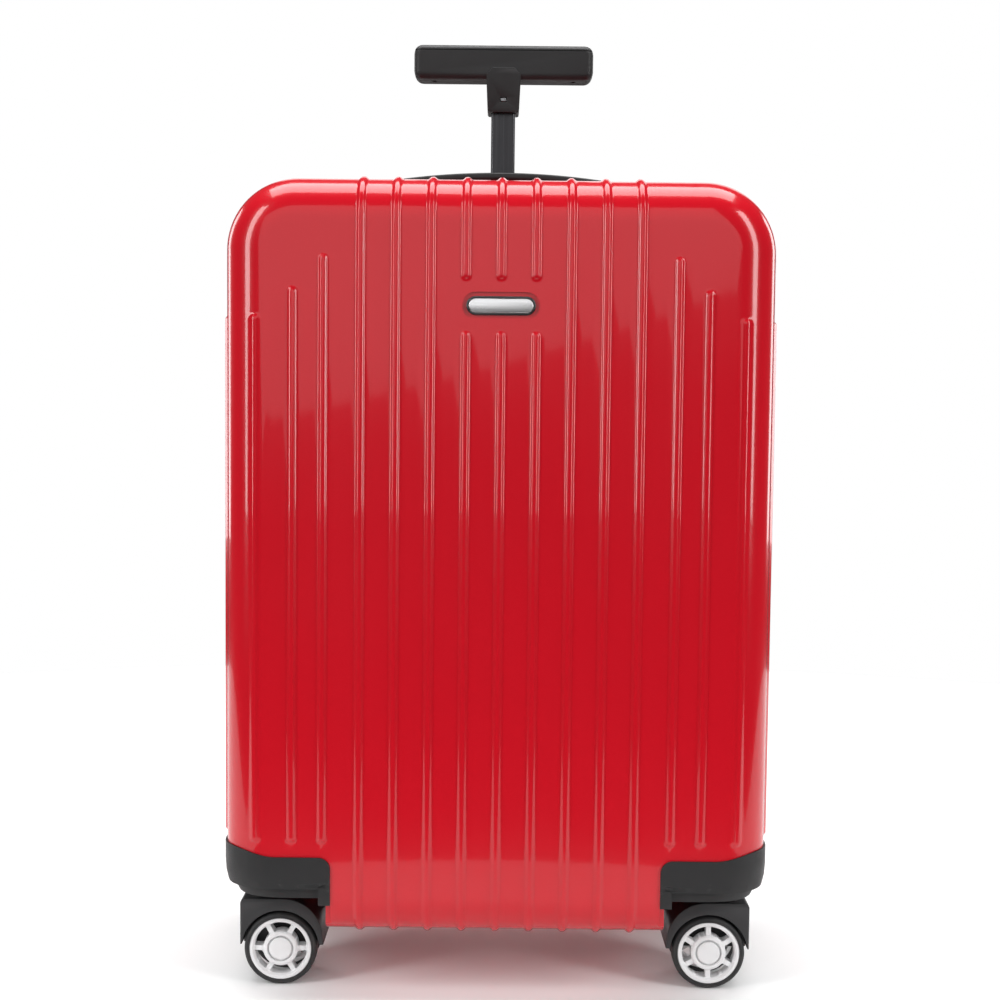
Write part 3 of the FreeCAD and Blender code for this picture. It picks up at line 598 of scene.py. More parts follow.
def metal(name, colour, roughness, grain=(1, 1, 1), depth=0.05):
    """Metal with a brushed grain stretched along its axes."""
    sheet = Finish(name, colour, roughness, 1.0)
    brushed = sheet.noise(900, 3, 0.6, grain)
    sheet.raise_by(brushed, depth, 0.0002)
    sheet.vary_roughness(sheet.range(brushed, roughness - 0.07, roughness + 0.1))
    sheet.vary_colour(sheet.range(sheet.noise(50, 4), 0.0, 0.25), tuple(c * 0.75 for c in colour))
    return sheet


def cloth(name, colour, other, pitch):
    """Woven cloth: crossing threads with painted highlight on their crowns and painted shade in the hollows
    between them, a fuzzy sheen and uneven dye.
    """
    weave = Finish(name, colour, 0.9, Sheen_Weight=0.3, Sheen_Roughness=0.5)
    crossing = weave.node("ShaderNodeMath", operation="MULTIPLY")
    threads = {"Scale": 1000.0 / pitch / 6.28, "Distortion": 0.6, "Detail": 1.0}
    for direction, spot in zip(("X", "Z"), crossing.inputs):
        wave = weave.node("ShaderNodeTexWave", threads, bands_direction=direction)
        weave.link(weave.place, wave.inputs["Vector"])
        weave.link(wave.outputs["Fac"], spot)
    total = crossing.outputs[0]
    weave.raise_by(total, 0.5, 0.0004)
    # painted highlight and painted shade: the threads' crowns move towards the lighter second colour and the
    # hollows between them stay darker, following the weave's relief
    weave.vary_colour(weave.range(total, 0.0, 0.6, 0.0, 1.0), other)
    weave.vary_colour(weave.range(weave.noise(18, 5), 0.0, 0.3), tuple(c * 0.6 for c in colour))
    return weave


def make_materials():
    """Every material, by name."""
    shell = Finish("shell", (0.50, 0.003, 0.011), 0.24, Coat_Weight=0.5, Coat_Roughness=0.05, Coat_IOR=1.5)
    shell.shader.inputs["Specular IOR Level"].default_value = 0.2
    shell.raise_by(shell.noise(55, 2, 0.4), 0.035, 0.002)
    shell.raise_by(shell.noise(420, 3, 0.5), 0.02, 0.0006)
    shell.vary_roughness(shell.range(shell.noise(7, 4), 0.16, 0.27))
    shell.vary_colour(shell.range(shell.noise(1900, 2), 0.0, 0.35), (0.58, 0.010, 0.021))
    shell.vary_colour(shell.range(shell.noise(5, 3), 0.0, 0.25), (0.45, 0.003, 0.010))
    for name, colour, roughness, grain, depth in (
        ("housing", (0.013, 0.013, 0.0135), 0.5, 2600, 0.25),
        ("fork", (0.024, 0.024, 0.025), 0.42, 2400, 0.2),
        ("soft_grip", (0.011, 0.011, 0.0115), 0.46, 3200, 0.16),
        ("grip_top", (0.012, 0.012, 0.0125), 0.38, 2800, 0.14),
        ("recess", (0.02, 0.02, 0.021), 0.5, 2600, 0.22),
        ("lock", (0.035, 0.035, 0.037), 0.32, 2200, 0.1),
        ("button", (0.06, 0.06, 0.063), 0.3, 2200, 0.08),
        ("rim", (0.66, 0.66, 0.665), 0.36, 1800, 0.08),
        ("teeth", (0.03, 0.03, 0.032), 0.35, 1200, 0.05),
        ("dial", (0.62, 0.62, 0.60), 0.35, 1800, 0.06),
    ):
        moulded(name, colour, roughness, grain, depth)
    tyre = moulded("tyre", (0.022, 0.022, 0.023), 0.62, 1500, 0.3)
    tyre.vary_colour(tyre.range(tyre.noise(120, 5), 0.0, 0.4, 0.45, 0.75), (0.07, 0.066, 0.06))
    bezel = Finish("bezel", (0.02, 0.02, 0.022), 0.16, 0.4, Coat_Weight=0.6)
    bezel.vary_roughness(bezel.range(bezel.noise(300, 3), 0.1, 0.25))
    metal("badge", (0.72, 0.72, 0.73), 0.3, (0.02, 1, 1), 0.1)
    metal("tube", (0.045, 0.045, 0.048), 0.32, (1, 1, 0.01), 0.06)
    metal("chrome", (0.75, 0.75, 0.77), 0.14, (1, 1, 0.3), 0.02)
    metal("hinge_steel", (0.34, 0.34, 0.35), 0.36, (1, 1, 0.05), 0.08)
    metal("zip_metal", (0.22, 0.22, 0.23), 0.3, (1, 1, 0.1), 0.05)
    # each cloth's second colour is the lighter tone that is painted on its thread crowns as painted
    # highlight
    cloth("lining", (0.055, 0.055, 0.06), (0.11, 0.11, 0.12), 0.9)
    cloth("tape", (0.03, 0.006, 0.008), (0.06, 0.012, 0.015), 0.6)
    cloth("webbing", (0.02, 0.02, 0.022), (0.045, 0.045, 0.05), 1.6)
    cloth("divider_cloth", (0.05, 0.05, 0.055), (0.10, 0.10, 0.11), 1.2)


# ---- shared makers

def ready(obj, name, material, body, replaced=(), slot=None, angle=35.0):
    """Gives a new piece its name, finish, body, and the nodes that it stands for."""
    obj.name = name
    smooth(obj, angle)
    obj.data.materials.clear()
    obj.data.materials.append(MATERIALS[material])
    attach(obj, body)
    if replaced:
        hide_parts(*replaced)
    return obj


def bevel(obj, width, segments, angle):
    """A modifier that rounds edges sharper than angle by width, in mm."""
    modifier = obj.modifiers.new("soft_edges", "BEVEL")
    modifier.width, modifier.segments = width * MM, segments
    modifier.limit_method, modifier.angle_limit = "ANGLE", radians(angle)
    return modifier


def softened(obj, width, segments=2, angle=32.0):
    """obj with its sharp edges rounded by width, in mm."""
    bevel(obj, width, segments, angle).use_clamp_overlap = True
    bpy.context.view_layer.update()
    return applied(obj)


def pillow(name, centre, size, corner, axis, span, edge, steps=4):
    """A block with a rounded rectangle's outline and rounded ends, along axis."""
    low, high = span
    turns = np.linspace(0, pi / 2, steps + 1)
    levels = [(low + edge * (1 - sin(t)), edge * (1 - cos(t))) for t in turns[::-1]]
    levels += [(high - edge * (1 - sin(t)), edge * (1 - cos(t))) for t in turns]
    bm = bmesh.new()
    rings = []
    for level, inset in levels:
        width, height = size[0] - 2 * inset, size[1] - 2 * inset
        outline = rounded_rect(centre, width, height, max(corner - inset, 0.25), 5)
        rings.append(ring_at(bm, outline, axis, level))
    skin(bm, rings)
    return object_from(bm, name)


def lathe(name, profile, centre, axis, steps=64):
    """A closed (radius, level) profile turned about an axis through centre."""
    bm = bmesh.new()
    rings = []
    for radius, level in profile:
        turns = [2 * pi * i / steps for i in range(steps if radius > 0 else 1)]
        points = [(radius * cos(turn), radius * sin(turn)) for turn in turns]
        rings.append(ring_at(bm, points, axis, level, centre))
    for a, b in zip(rings, rings[1:] + rings[:1]):
        if len(a) == 1 and len(b) == 1:
            continue
        for i in range(steps):
            j = (i + 1) % steps
            corners = [a[i % len(a)], a[j % len(a)], b[j % len(b)], b[i % len(b)]]
            bm.faces.new(list(dict.fromkeys(corners)))
    return object_from(bm, name)


def sweep(name, places, acrosses, ups, section, closed=False):
    """A section of (across, up) points in mm carried along places, with closed ends."""
    bm = bmesh.new()
    rings = []
    for place, across, up in zip(places, acrosses, ups):
        centre, a, u = Vector(place), Vector(across), Vector(up)
        rings.append([bm.verts.new((centre + a * s + u * t) * MM) for s, t in section])
    skin(bm, rings, closed)
    return object_from(bm, name)


def split_at(obj, height, keep_upper):
    """The part of a closed mesh above or below a height in mm, closed again."""
    with editing(obj) as bm:
        everything = bm.verts[:] + bm.edges[:] + bm.faces[:]
        split = bmesh.ops.bisect_plane(
            bm, geom=everything, plane_co=(0, 0, height * MM), plane_no=(0, 0, 1),
            clear_inner=keep_upper, clear_outer=not keep_upper,
        )
        edges = [e for e in split["geom_cut"] if isinstance(e, bmesh.types.BMEdge)]
        bmesh.ops.contextual_create(bm, geom=edges)
        bm.normal_update()
    return obj


def copied(obj, name, matrix):
    """A copy of obj's mesh with matrix applied to it."""
    mesh = obj.data.copy()
    mesh.transform(matrix)
    if matrix.determinant() < 0:
        mesh.flip_normals()
    return linked(name, mesh)


def flip(axis):
    """The mirror matrix across x = 0 or y = 0."""
    matrix = Matrix.Identity(4)
    matrix[axis][axis] = -1
    return matrix


# ---- wheel housings

def housing_cover():
    """The left housing's outline seen from the front, above the well."""
    low, high = 98.3, 103.5
    dip = [(-176 + 30 * t, high - (high - low) * float(rise(t))) for t in np.linspace(0, 1, 13)]
    corner = arc((-HOUSING_INNER - 8, low - 8), 8, 90, 0, 8)
    return [(-HOUSING_INNER, WELL_TOP), (-205, WELL_TOP), (-205, high)] + dip + corner


def front_left_housing():
    """The moulding that carries the front left caster."""
    proud = half_form("housing", -1.4, 0.3)
    band, leg = (copied(proud, name, Matrix.Identity(4)) for name in ("band", "leg"))
    under = half_form("under", 0.3, -1.0)
    skirt = half_form("skirt", 2.6, 0.3)
    back = [(x, min(y, -HOUSING_REAR)) for x, y in well_outline(-0.02)]
    top = WELL_TOP + 0.4
    for piece, kept in (
        (proud, prism("cover", housing_cover(), 1, -150, -HOUSING_REAR)),
        (band, prism("band_cut", back, 2, 77.0, top)),
        (skirt, prism("skirt_cut", back, 2, 70.0, 78.0)),
        (leg, box_cutter("leg_cut", (-117.5, -109.7), (-130, -103.8), (66.0, top))),
    ):
        boolean(piece, kept, "INTERSECT")
    cut(proud, under)
    plate = [(3.1, 66), (12.6, 66), (13.6, 66.6), (14, 67.6), (14, 71), (3.1, 71)]
    return add(proud, band, skirt, leg, lathe("boss", plate, (-SWIVEL_X, -SWIVEL_Y, 0), 2, 48))


def make_housings():
    """All four wheel housings."""
    base = front_left_housing()
    same = Matrix.Identity(4)
    for row, side in (("front", "left"), ("front", "right"), ("rear", "left"), ("rear", "right")):
        matrix = (flip(1) if row == "rear" else same) @ (flip(0) if side == "right" else same)
        node = f"{row}_housing_{side}"
        obj = copied(base, node, matrix)
        ready(obj, f"{node}_moulding", "housing", f"{row}_half", [node], "black_plastic", 30)
    bpy.data.objects.remove(base)


# ---- casters

TRAIL, WHEEL_RADIUS = 18.0, 25.0
AXLE = (TRAIL, 0.0, WHEEL_RADIUS)


def fork_shape():
    """A caster's fork about its swivel axis, trailing along +X."""
    cx, cz = TRAIL, WHEEL_RADIUS
    outer = arc((-6.2, 56.6), 3.4, 180, 90, 5) + arc((20.0, 33.0), 27.0, 90, 12, 16)
    outer += arc((cx, cz), 29.8, 14, 6, 2)
    inner = arc((cx, cz), 26.6, 6, 173, 30)
    outline = [(-9.6, 27.6)] + outer + inner
    hood = prism("hood", outline, 1, -21.4, 21.4)
    softened(hood, 0.7, 3, 35)
    web = prism("web", arc((cx, cz), 27.4, 0, 180, 30), 1, -7.2, 7.2)
    bushing = [(2.9, -7.4), (7.0, -7.4), (7.5, -6.9), (7.5, 6.9), (7.0, 7.4), (2.9, 7.4)]
    eye = lathe("eye", bushing, AXLE, 1, 32)
    socket = [(2.9, 50), (9.0, 50), (9.0, 59.6), (8.4, 60.4), (2.9, 60.4)]
    collar = lathe("collar", socket, (0, 0, 0), 2, 40)
    pieces = [softened(web, 0.5), eye, collar]
    for t in (radians(40), radians(75), radians(110), radians(145)):
        corners = ((8, t - 0.06), (26.9, t - 0.02), (26.9, t + 0.02), (8, t + 0.06))
        pieces.append(prism("rib", [(cx + r * cos(a), cz + r * sin(a)) for r, a in corners], 1, -8.0, 8.0))
    return add(hood, *pieces)


def rim_shape(turn):
    """A wheel's dished six-spoke rim on the caster's +Y side, with a blank cap."""
    profile = [
        (3.1, 8.7), (11.0, 8.7), (11.4, 9.1), (11.4, 11.7), (18.4, 11.7), (18.4, 9.1), (18.8, 8.7),
        (20.9, 8.7), (21.3, 9.1), (21.3, 20.7), (20.9, 21.1), (19.2, 21.1), (18.7, 20.6), (18.2, 19.4),
        (17.4, 18.9), (12.4, 19.5), (11.8, 20.2), (11.3, 20.8), (10.7, 21.1), (9.4, 21.1), (8.95, 20.7),
        (8.8, 18.9), (7.8, 18.9), (7.75, 20.6), (7.3, 21.0), (5.0, 21.25), (2.0, 21.35), (0.0, 21.38),
        (0.0, 19.0), (3.1, 19.0),
    ]
    rim = lathe("rim", profile, AXLE, 1, 96)
    windows = []
    for i in range(6):
        start, points = 60 * i + turn, []
        for radius, half in ((11.9, 1.7), (18.0, 1.6)):
            gap = np.degrees(half / radius)
            angles = (start + gap, start + 60 - gap)
            row = arc((TRAIL, WHEEL_RADIUS), radius, *angles, 10)
            points += row if radius < 15 else row[::-1]
        windows.append(softened(prism("window", points, 1, 5.0, 26.0), 1.1, 3, 60))
    return cut(rim, joined(windows, "windows"))


def tyre_shape():
    """A wheel's tyre: a crowned tread, a shoulder line and a raised bead against the rim."""
    half = [(21.35, 8.4), (22.2, 8.4), (22.5, 8.7), (22.8, 8.45), (23.6, 8.6), (24.3, 9.2)]
    half += [(24.75, 10.2), (24.95, 11.6), (25.0, 13.2)]
    middle = [(25.0, 14.5), (24.88, 14.7), (24.88, 15.1), (25.0, 15.3)]
    return lathe("tyre", half + middle + [(r, 29.8 - y) for r, y in half[::-1]], AXLE, 1, 96)


def make_casters():
    """Four twin-wheel casters, each about its own pin."""
    fork, tyre = fork_shape(), tyre_shape()
    rims = {-1: rim_shape(0), 1: rim_shape(30)}
    for side, side_name in ((-1, "left"), (1, "right")):
        for row, back in (("front", -1), ("rear", 1)):
            heading = 90 if back > 0 else (180 if side > 0 else 0)
            pin = Matrix.Translation((side * SWIVEL_X * MM, back * SWIVEL_Y * MM, 0))
            place = pin @ Matrix.Rotation(radians(heading), 4, "Z")
            corner = f"{row}_{side_name}"
            node = f"caster_fork_{corner}"
            obj = copied(fork, node, place)
            ready(obj, f"fork_{corner}", "fork", f"caster_{corner}", [node], "black_plastic", 30)
            for letter, turn in (("a", Matrix.Identity(4)), ("b", flip(1))):
                body = f"wheel_{corner}_{letter}"
                for part, shape in (("rim", rims[side]), ("tyre", tyre)):
                    piece, end = copied(shape, part, place @ turn), f"{part}_{corner}_{letter}"
                    ready(piece, end, part, body, [f"wheel_{end}"], part, 32)
    for obj in (fork, tyre, *rims.values()):
        bpy.data.objects.remove(obj)


# ---- trolley handle

GRIP_Z, GRIP_SEAM = (641.7, 667.4), 663.4


def grip_block(name, grow=0.0):
    """The whole bar before its cover is parted from it."""
    size = (134.0 + 2 * grow, GRIP_Z[1] - GRIP_Z[0] + 2 * grow)
    span = (HANDLE_Y - 12 - grow, HANDLE_Y + 12 + grow)
    return pillow(name, (0, sum(GRIP_Z) / 2), size, 6.5, 1, span, 5.0, 7)


def button_hole(grow, span):
    """The push button's outline as a cutter."""
    return pillow("button_hole", (0, HANDLE_Y), (38 + 2 * grow, 11 + 2 * grow), 4 + grow, 2, span, 0.3, 2)


def make_grip():
    """The T grip: body with its neck and screw recesses, cover, button and catch."""
    body = split_at(grip_block("grip"), GRIP_SEAM - 0.22, False)
    cover = split_at(grip_block("cover", 0.1), GRIP_SEAM + 0.22, True)
    points = [(-11.75, 618.0), (11.75, 618.0), (13.0, 645.5), (8.2, 650.8), (-8.2, 650.8), (-13.0, 645.5)]
    depth = 13.3  # half of the neck's, before it tapers
    neck = softened(prism("neck", points, 1, HANDLE_Y - depth, HANDLE_Y + depth), 1.6, 4, 24)
    for y in (-1, 1):
        face = box_cutter("taper", (-40, 40), sorted((HANDLE_Y + y * 30, HANDLE_Y + y * depth)), (600, 656))
        for vertex in face.data.vertices:
            if abs(vertex.co.y - (HANDLE_Y + y * depth) * MM) < 1e-6 and vertex.co.z < 0.61:
                vertex.co.y -= y * 3.4 * MM
        cut(neck, face)
    cut(add(body, neck), pillow("socket", (0, HANDLE_Y), (18.2, 10.2), 2, 2, (610, 640), 0.1, 2))
    cut(body, button_hole(0.5, (655, 670)))
    screw = [(0, 636), (2.3, 636), (2.3, 643.4), (0, 643.4)]
    cut(body, *(lathe("recess", screw, (side * 52, HANDLE_Y - 3, 0), 2, 24) for side in (-1, 1)))
    cut(body, pillow("window", (0, 627), (4.8, 3.4), 0.6, 1, (HANDLE_Y - 16, HANDLE_Y - 8.0), 0.2, 2))
    cut(cover, button_hole(0.35, (655, 675)))
    for piece in (body, cover):
        softened(piece, 0.45, 2, 40)
    ready(body, "grip_moulding", "soft_grip", "handle_inner", ["grip_body"], "soft_grip")
    ready(cover, "grip_top", "grip_top", "handle_inner", ["grip_cover"], "black_plastic")
    button = pillow("button", (0, HANDLE_Y), (38, 11), 4, 2, (659.4, 667.9), 0.9, 4)
    for x in (-6, -3, 0, 3, 6):
        add(button, pillow("ridge", (x, HANDLE_Y), (1.1, 7.4), 0.5, 2, (666, 668.25), 0.35, 2))
    ready(button, "push_button", "button", "grip_button", ["grip_button"], "button")
    catch = pillow("catch", (0, 627), (4.0, 2.6), 0.5, 1, (HANDLE_Y - 11.4, HANDLE_Y - 8.2), 0.3, 2)
    ready(catch, "neck_catch", "zip_metal", "handle_inner", (), "chrome")


# ---- carry handles

def bow_course(half, top, corner, foot, crown, lift, steps=24):
    """One edge of a carry handle: up from a foot, over a gentle arch and down again."""
    r, edge, shoulder = corner - lift, half - lift, top - crown - lift
    reach = edge - r
    points = [(-edge, foot)] + arc((-reach, shoulder - r), r, 180, 96, 7)
    points += [(x, shoulder + crown * (1 - (x / reach) ** 2)) for x in np.linspace(-reach, reach, steps)]
    return points + arc((reach, shoulder - r), r, 84, 0, 7) + [(edge, foot)]


def bow_outline(half, top, thickness, corner, foot, crown):
    """A carry handle's closed outline."""
    outer = bow_course(half, top, corner, foot, crown, 0)
    return outer + bow_course(half, top, corner, foot, crown, thickness)[::-1]


def make_carry_handles():
    """The two carry handles, the top one with a ribbed grip under its bar."""
    top = prism("top_bar", bow_outline(92.0, 567.5, 5.0, 9.0, 541.0, 6.5), 1, 13.0, 29.0)
    softened(top, 1.7, 4, 40)
    for x in range(-40, 41, 4):
        add(top, pillow("rib", (x, 21.0), (1.5, 12.0), 0.7, 2, (560.6, 562.9 - 0.00095 * x * x), 0.5, 2))
    ready(top, "top_carry_handle", "soft_grip", "top_handle", ["top_handle"], "soft_grip")
    side = prism("side_bar", bow_outline(68.0, 0, 5.0, 9.0, -16.0, 2.0), 1, -8.0, 8.0)
    softened(side, 1.4, 4, 40)
    side.data.transform(Matrix.Translation((0.183, 0.062, 0.250)) @ Matrix.Rotation(pi / 2, 4, "Y"))
    ready(side, "side_carry_handle", "soft_grip", "side_handle", ["side_handle"], "soft_grip")


# ---- zip

def tape_path(spacing):
    """Places and outward normals round the parting line, from the upper left clockwise to the lower left."""
    half, low, high, r = RIM_HALF_WIDTH, CASE_BOTTOM, CASE_TOP, CORNER_RADIUS
    places = []
    runs = [
        ((-half, 481.0), (-half, high - r), (-1, 0)), ((-half + r, high - r), (180, 90), None),
        ((-half + r, high), (half - r, high), (0, 1)), ((half - r, high - r), (90, 0), None),
        ((half, high - r), (half, low + r), (1, 0)), ((half - r, low + r), (0, -90), None),
        ((half - r, low), (-half + r, low), (0, -1)), ((-half + r, low + r), (-90, -180), None),
        ((-half, low + r), (-half, 119.0), (-1, 0)),
    ]
    for start, end, normal in runs:
        if normal:
            run = (end[0] - start[0], end[1] - start[1])
            count = max(2, int(Vector(run).length / spacing))
            for t in np.linspace(0, 1, count + 1)[:-1]:
                places.append((start[0] + run[0] * t, start[1] + run[1] * t, *normal))
        else:
            count = max(6, int(r * pi / 2 / spacing))
            for a in np.radians(np.linspace(end[0], end[1], count + 1)[:-1]):
                places.append((start[0] + r * cos(a), start[1] + r * sin(a), cos(a), sin(a)))
    return places


def make_zip(front):
    """One half's zip: a woven tape, and a row of teeth at the parting line."""
    way = -1 if front else 1
    kind = "front" if front else "rear"
    path = tape_path(6.0)
    places = [(x, 0, z) for x, z, _, _ in path]
    out = [(nx, 0, nz) for _, _, nx, nz in path]
    section = [(0.06, 0.2), (0.62, 0.2), (0.72, 0.9), (0.72, 6.2), (0.6, 7.0), (0.06, 7.0)]
    tape = sweep("tape", places, out, [(0, way, 0)] * len(places), section)
    ready(tape, f"{kind}_tape", "tape", f"{kind}_half", [f"{kind}_zip_tape"], "tape")
    bm = bmesh.new()
    offset = 0.0 if front else 1.0
    steps = tape_path(2.0)
    for (x, z, nx, nz), (x2, z2, _, _) in zip(steps, steps[1:]):
        along = Vector((x2 - x, 0, z2 - z)).normalized()
        normal, side = Vector((nx, 0, nz)), Vector((0, way, 0))
        centre = Vector((x, 0, z)) + along * offset
        rows = []
        for reach, half in ((0.12, 0.34), (0.75, 0.62), (1.9, 0.5)):
            outline = [(0.3, -half), (1.05, -half), (1.3, -half * 0.5)]
            outline += [(1.3, half * 0.5), (1.05, half), (0.3, half)]
            rows.append([bm.verts.new((centre + normal * n + side * reach + along * a) * MM)
                         for n, a in outline])
        skin(bm, rows)
    ready(object_from(bm, "teeth"), f"{kind}_teeth", "teeth", f"{kind}_half", (), "zip_metal", 40)


# ---- inside

LINING_GAP = 0.4  # between the shell and the cloth
PUCKER = 0.35

def open_at_rim(obj, limit):
    """obj without the flat face that closes it at the parting plane."""
    with editing(obj) as bm:
        rim = [f for f in bm.faces if all(abs(v.co.y) < limit * MM for v in f.verts)]
        bmesh.ops.delete(bm, geom=rim, context="FACES")


def make_lining(front):
    """The cloth stretched over the inside of one half, a little puckered along its walls."""
    kind = "front" if front else "rear"
    cloth = cut(half_form("lining", WALL + LINING_GAP, 1.2), wells(WALL + 0.5))
    with editing(cloth) as bm:
        long_edges = [e for e in bm.edges if e.calc_length() > 0.014]
        bmesh.ops.subdivide_edges(bm, edges=long_edges, cuts=1, use_grid_fill=True)
        bmesh.ops.triangulate(bm, faces=[f for f in bm.faces if len(f.verts) > 4])
    if not front:
        cut(
            mirror_in_place(cloth),
            pillow("tray", (0, HANDLE_Y), (148.4, 35.4), 7.6, 2, (500, 570), 0.1, 2),
            pillow("neck", (0, HANDLE_Y), (38.4, 31.4), 6.6, 2, (480, 570), 0.1, 2),
            pillow("side", (62, 250), (34.4, 148.4), 8, 0, (163, 200), 0.1, 2),
            box_cutter("lock", (173, 200), (11.0, 29.0), (319.0, 397.0)),
        )
    open_at_rim(cloth, 1.3)
    with editing(cloth) as bm:
        bm.normal_update()
        for v in bm.verts:
            x, y, z = (c / MM for c in v.co)
            depth = min(1.0, max(0.0, (abs(y) - 6) / 20))
            pucker = PUCKER * sin(x / 7.0 + 2 * sin(z / 31))
            pucker += PUCKER * sin(z / 8.5 + 2 * sin(x / 27 + y / 19))
            v.co -= v.normal * (0.5 + 0.5 * pucker) * depth * MM
    ready(cloth, f"{kind}_lining_cloth", "lining", f"{kind}_half", [f"{kind}_lining"], "lining", 60)


def make_divider():
    """The cloth panel between the halves, with a bound edge, a seam at the hinge and a pocket's zip."""
    low, high, left, right = 54.0, 536.0, -175.0, 167.5
    columns, rows, corner = 42, 58, 30.0
    cx, cz = (left + right) / 2, (low + high) / 2
    hx, hz = (right - left) / 2 - corner, (high - low) / 2 - corner
    bm = bmesh.new()
    grid = []
    for j in range(rows + 1):
        row = []
        for i in range(columns + 1):
            x = left + (right - left) * i / columns
            z = low + (high - low) * j / rows
            px, pz = x - cx, z - cz
            qx, qz = px - max(-hx, min(hx, px)), pz - max(-hz, min(hz, pz))
            longest = max(abs(qx), abs(qz))
            if abs(qx) > 1e-6 and abs(qz) > 1e-6:
                scale = longest / (qx * qx + qz * qz) ** 0.5
                px, pz = px - qx * (1 - scale), pz - qz * (1 - scale)
            edge = min(1.0, min(hx + corner - abs(px), hz + corner - abs(pz)) / corner)
            wave = 0.4 * edge * (sin(x / 23 + 1.4 * sin(z / 41)) + 0.7 * sin(z / 29 + 1.2 * sin(x / 37)))
            row.append(bm.verts.new(((cx + px) * MM, wave * MM, (cz + pz) * MM)))
        grid.append(row)
    for a, b in zip(grid, grid[1:]):
        for i in range(columns):
            bm.faces.new((a[i], a[i + 1], b[i + 1], b[i]))
    panel = object_from(bm, "divider_cloth")
    ready(panel, "divider_cloth", "divider_cloth", "divider", ["divider"], "divider_cloth", 60)
    ring = rounded_rect((cx, cz), right - left, high - low, corner, 10)
    places, outs = [], []
    for i, (x, z) in enumerate(ring):
        before, after = ring[i - 1], ring[(i + 1) % len(ring)]
        way = Vector((after[0] - before[0], 0, after[1] - before[1])).normalized()
        places.append((x, 0, z))
        outs.append(Vector((way.z, 0, -way.x)))
    one_side = [(-7.0, 0.55), (-6.6, 0.85), (-0.6, 0.9), (0.3, 0.5)]
    section = one_side + [(a, -u) for a, u in one_side[::-1]]
    binding = sweep("binding", places, outs, [(0, 1, 0)] * len(places), section, True)
    places = [(-176.8, 0, z) for z in np.linspace(104, 497, 30)]
    cord = [(1.25 * cos(a), 1.25 * sin(a)) for a in np.linspace(0, 2 * pi, 11)[:-1]]
    seam = sweep("seam", places, [(1, 0, 0)] * 30, [(0, 1, 0)] * 30, cord)
    pocket = prism("pocket_zip", rounded_rect((-4, 455), 260, 9, 2), 1, -1.5, -0.2)
    softened(pocket, 0.3)
    for piece, name in ((binding, "binding"), (seam, "seam"), (pocket, "pocket_zip")):
        ready(piece, f"divider_{name}", "webbing", "divider", (), "divider_cloth", 50)


def strap(name, start, end, y, width=20.0, thick=0.9):
    """Flat webbing between two places in the (x, z) plane, bowed a little outwards at its middle."""
    a, b = Vector((start[0], y[0], start[1])), Vector((end[0], y[1], end[1]))
    along = (b - a).normalized()
    across = Vector((-along.z, 0, along.x))
    steps = 24
    places = [a.lerp(b, t) + Vector((0, -1.6 * sin(pi * t), 0)) for t in np.linspace(0, 1, steps)]
    half, t = width / 2, thick / 2
    section = [(-half, -t * 0.6), (-half + 0.6, -t), (half - 0.6, -t), (half, -t * 0.6)]
    section += [(a, -u) for a, u in section[::-1]]
    return sweep(name, places, [across] * steps, [(0, 1, 0)] * steps, section)


def make_straps():
    """The rear half's crossed packing straps, buckled together over the middle."""
    ends = (
        ((-172, 470), (-18, 306), (30, 12)), ((-172, 130), (-18, 294), (30, 12)),
        ((172, 455), (18, 306), (40, 12)), ((172, 130), (18, 294), (30, 12)),
    )
    for i, (start, end, depth) in enumerate(ends, 1):
        piece = strap(f"packing_strap_{i}", start, end, depth)
        ready(piece, f"packing_strap_{i}", "webbing", "rear_half", (), "lining", 50)
        side = 1 if start[0] > 0 else -1
        span = (depth[0] - 1.6, depth[0] + 1.6)
        anchor = pillow("anchor", (start[0] + side * 3.0, start[1]), (16, 30), 3, 1, span, 0.8, 3)
        ready(anchor, f"strap_anchor_{i}", "lock", "rear_half", (), "black_plastic", 40)
    clip = pillow("clip", (0, 300), (44, 34), 6, 1, (7.4, 14.0), 2.0, 4)
    cut(clip, *(pillow("slot", (x, 300), (7, 22), 2, 1, (5, 16), 0.2, 2) for x in (-13, 13)))
    ready(softened(clip, 0.4, 2, 45), "strap_buckle", "lock", "rear_half", (), "black_plastic", 40)


# ---- small fittings

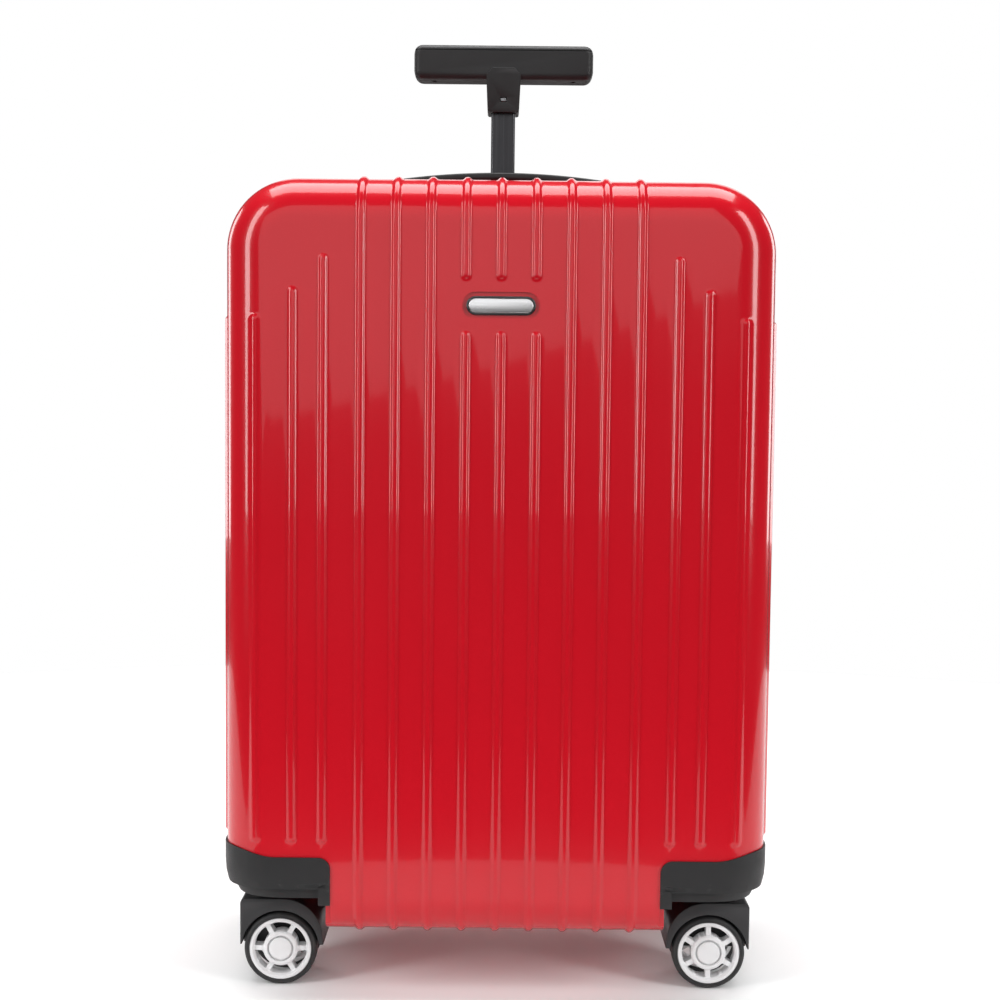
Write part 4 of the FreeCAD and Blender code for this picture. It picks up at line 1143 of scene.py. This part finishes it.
def make_badge():
    """A blank oval badge: a dark bevelled bezel round a brushed plate."""
    face = -HALF_DEPTH + 1.0
    bezel = prism("bezel", stadium((0, BADGE_Z), 45.3, 12.3, 24), 1, face - 1.6, face)
    softened(bezel, 0.55, 3, 40)
    cut(bezel, prism("seat", stadium((0, BADGE_Z), 42.2, 9.3, 24), 1, face - 5, face - 0.5))
    ready(softened(bezel, 0.18, 2, 50), "badge_frame", "bezel", "front_half", ["badge_bezel"], "bezel")
    plate = prism("plate", stadium((0, BADGE_Z), 41.9, 9.0, 24), 1, face - 1.85, face - 0.5)
    ready(softened(plate, 0.5, 3, 40), "badge_face", "badge", "front_half", ["badge_plate"], "badge_metal")


def make_screws():
    """Two cross-head screws on the lock plate."""
    profile = [(0, 188.2), (1.7, 188.2), (1.7, 188.8), (1.3, 189.2), (0, 189.35)]
    for i, z in enumerate((322.6, 393.8), 1):
        head = lathe("head", profile, (0, 20, z), 0, 28)
        for dy, dz in ((1.0, 0.225), (0.225, 1.0)):
            cut(head, box_cutter("cross", (188.9, 190), (20 - dy, 20 + dy), (z - dz, z + dz)))
        ready(head, f"lock_screw_{i}", "chrome", "rear_half", (), "chrome", 30)


KEPT = {
    "hinge_leaves": "hinge_steel", "handle_guide": "tube", "tube": "tube", "handle_tray": "recess",
    "side_handle_tray": "recess", "sockets": "recess", "lock_housing": "lock", "lock_dial": "dial",
    "lock_release": "button", "lock_key": "badge", "zip_slider": "zip_metal", "zip_pull": "zip_metal",
    "caster_pins": "chrome",
}
SOFT_EDGES = {"handle_tray": 0.5, "sockets": 0.4, "lock_release": 0.2, "lock_key": 0.2, "zip_slider": 0.3,
              "zip_pull": 0.25, "hinge_leaves": 0.3, "lock_housing": 0.3, "lock_dial": 0.15}


def finish_kept_nodes():
    """Gives every CAD node its material, and the kept ones smooth shading and, where SOFT_EDGES lists them,
    slightly rounded edges.
    """
    for name, obj in NODES.items():
        found = [key for key in KEPT if key in name]
        finish = KEPT[max(found, key=len)] if found else "housing"
        obj.data.materials.clear()
        obj.data.materials.append(MATERIALS[finish])
        if not found:
            continue
        smooth(obj, 30)
        edges = [key for key in SOFT_EDGES if key in name]
        if edges:
            flat = obj.modifiers.new("flat", "DECIMATE")
            flat.decimate_type, flat.angle_limit = "DISSOLVE", radians(1.0)
            bevel(obj, SOFT_EDGES[max(edges, key=len)], 2, 35).harden_normals = True


make_materials()
set_camera()
set_stage()
finish_kept_nodes()
make_shell(True)
make_shell(False)
make_housings()
make_casters()
make_grip()
make_carry_handles()
make_zip(True)
make_zip(False)
make_lining(True)
make_lining(False)
make_divider()
make_straps()
make_badge()
make_screws()
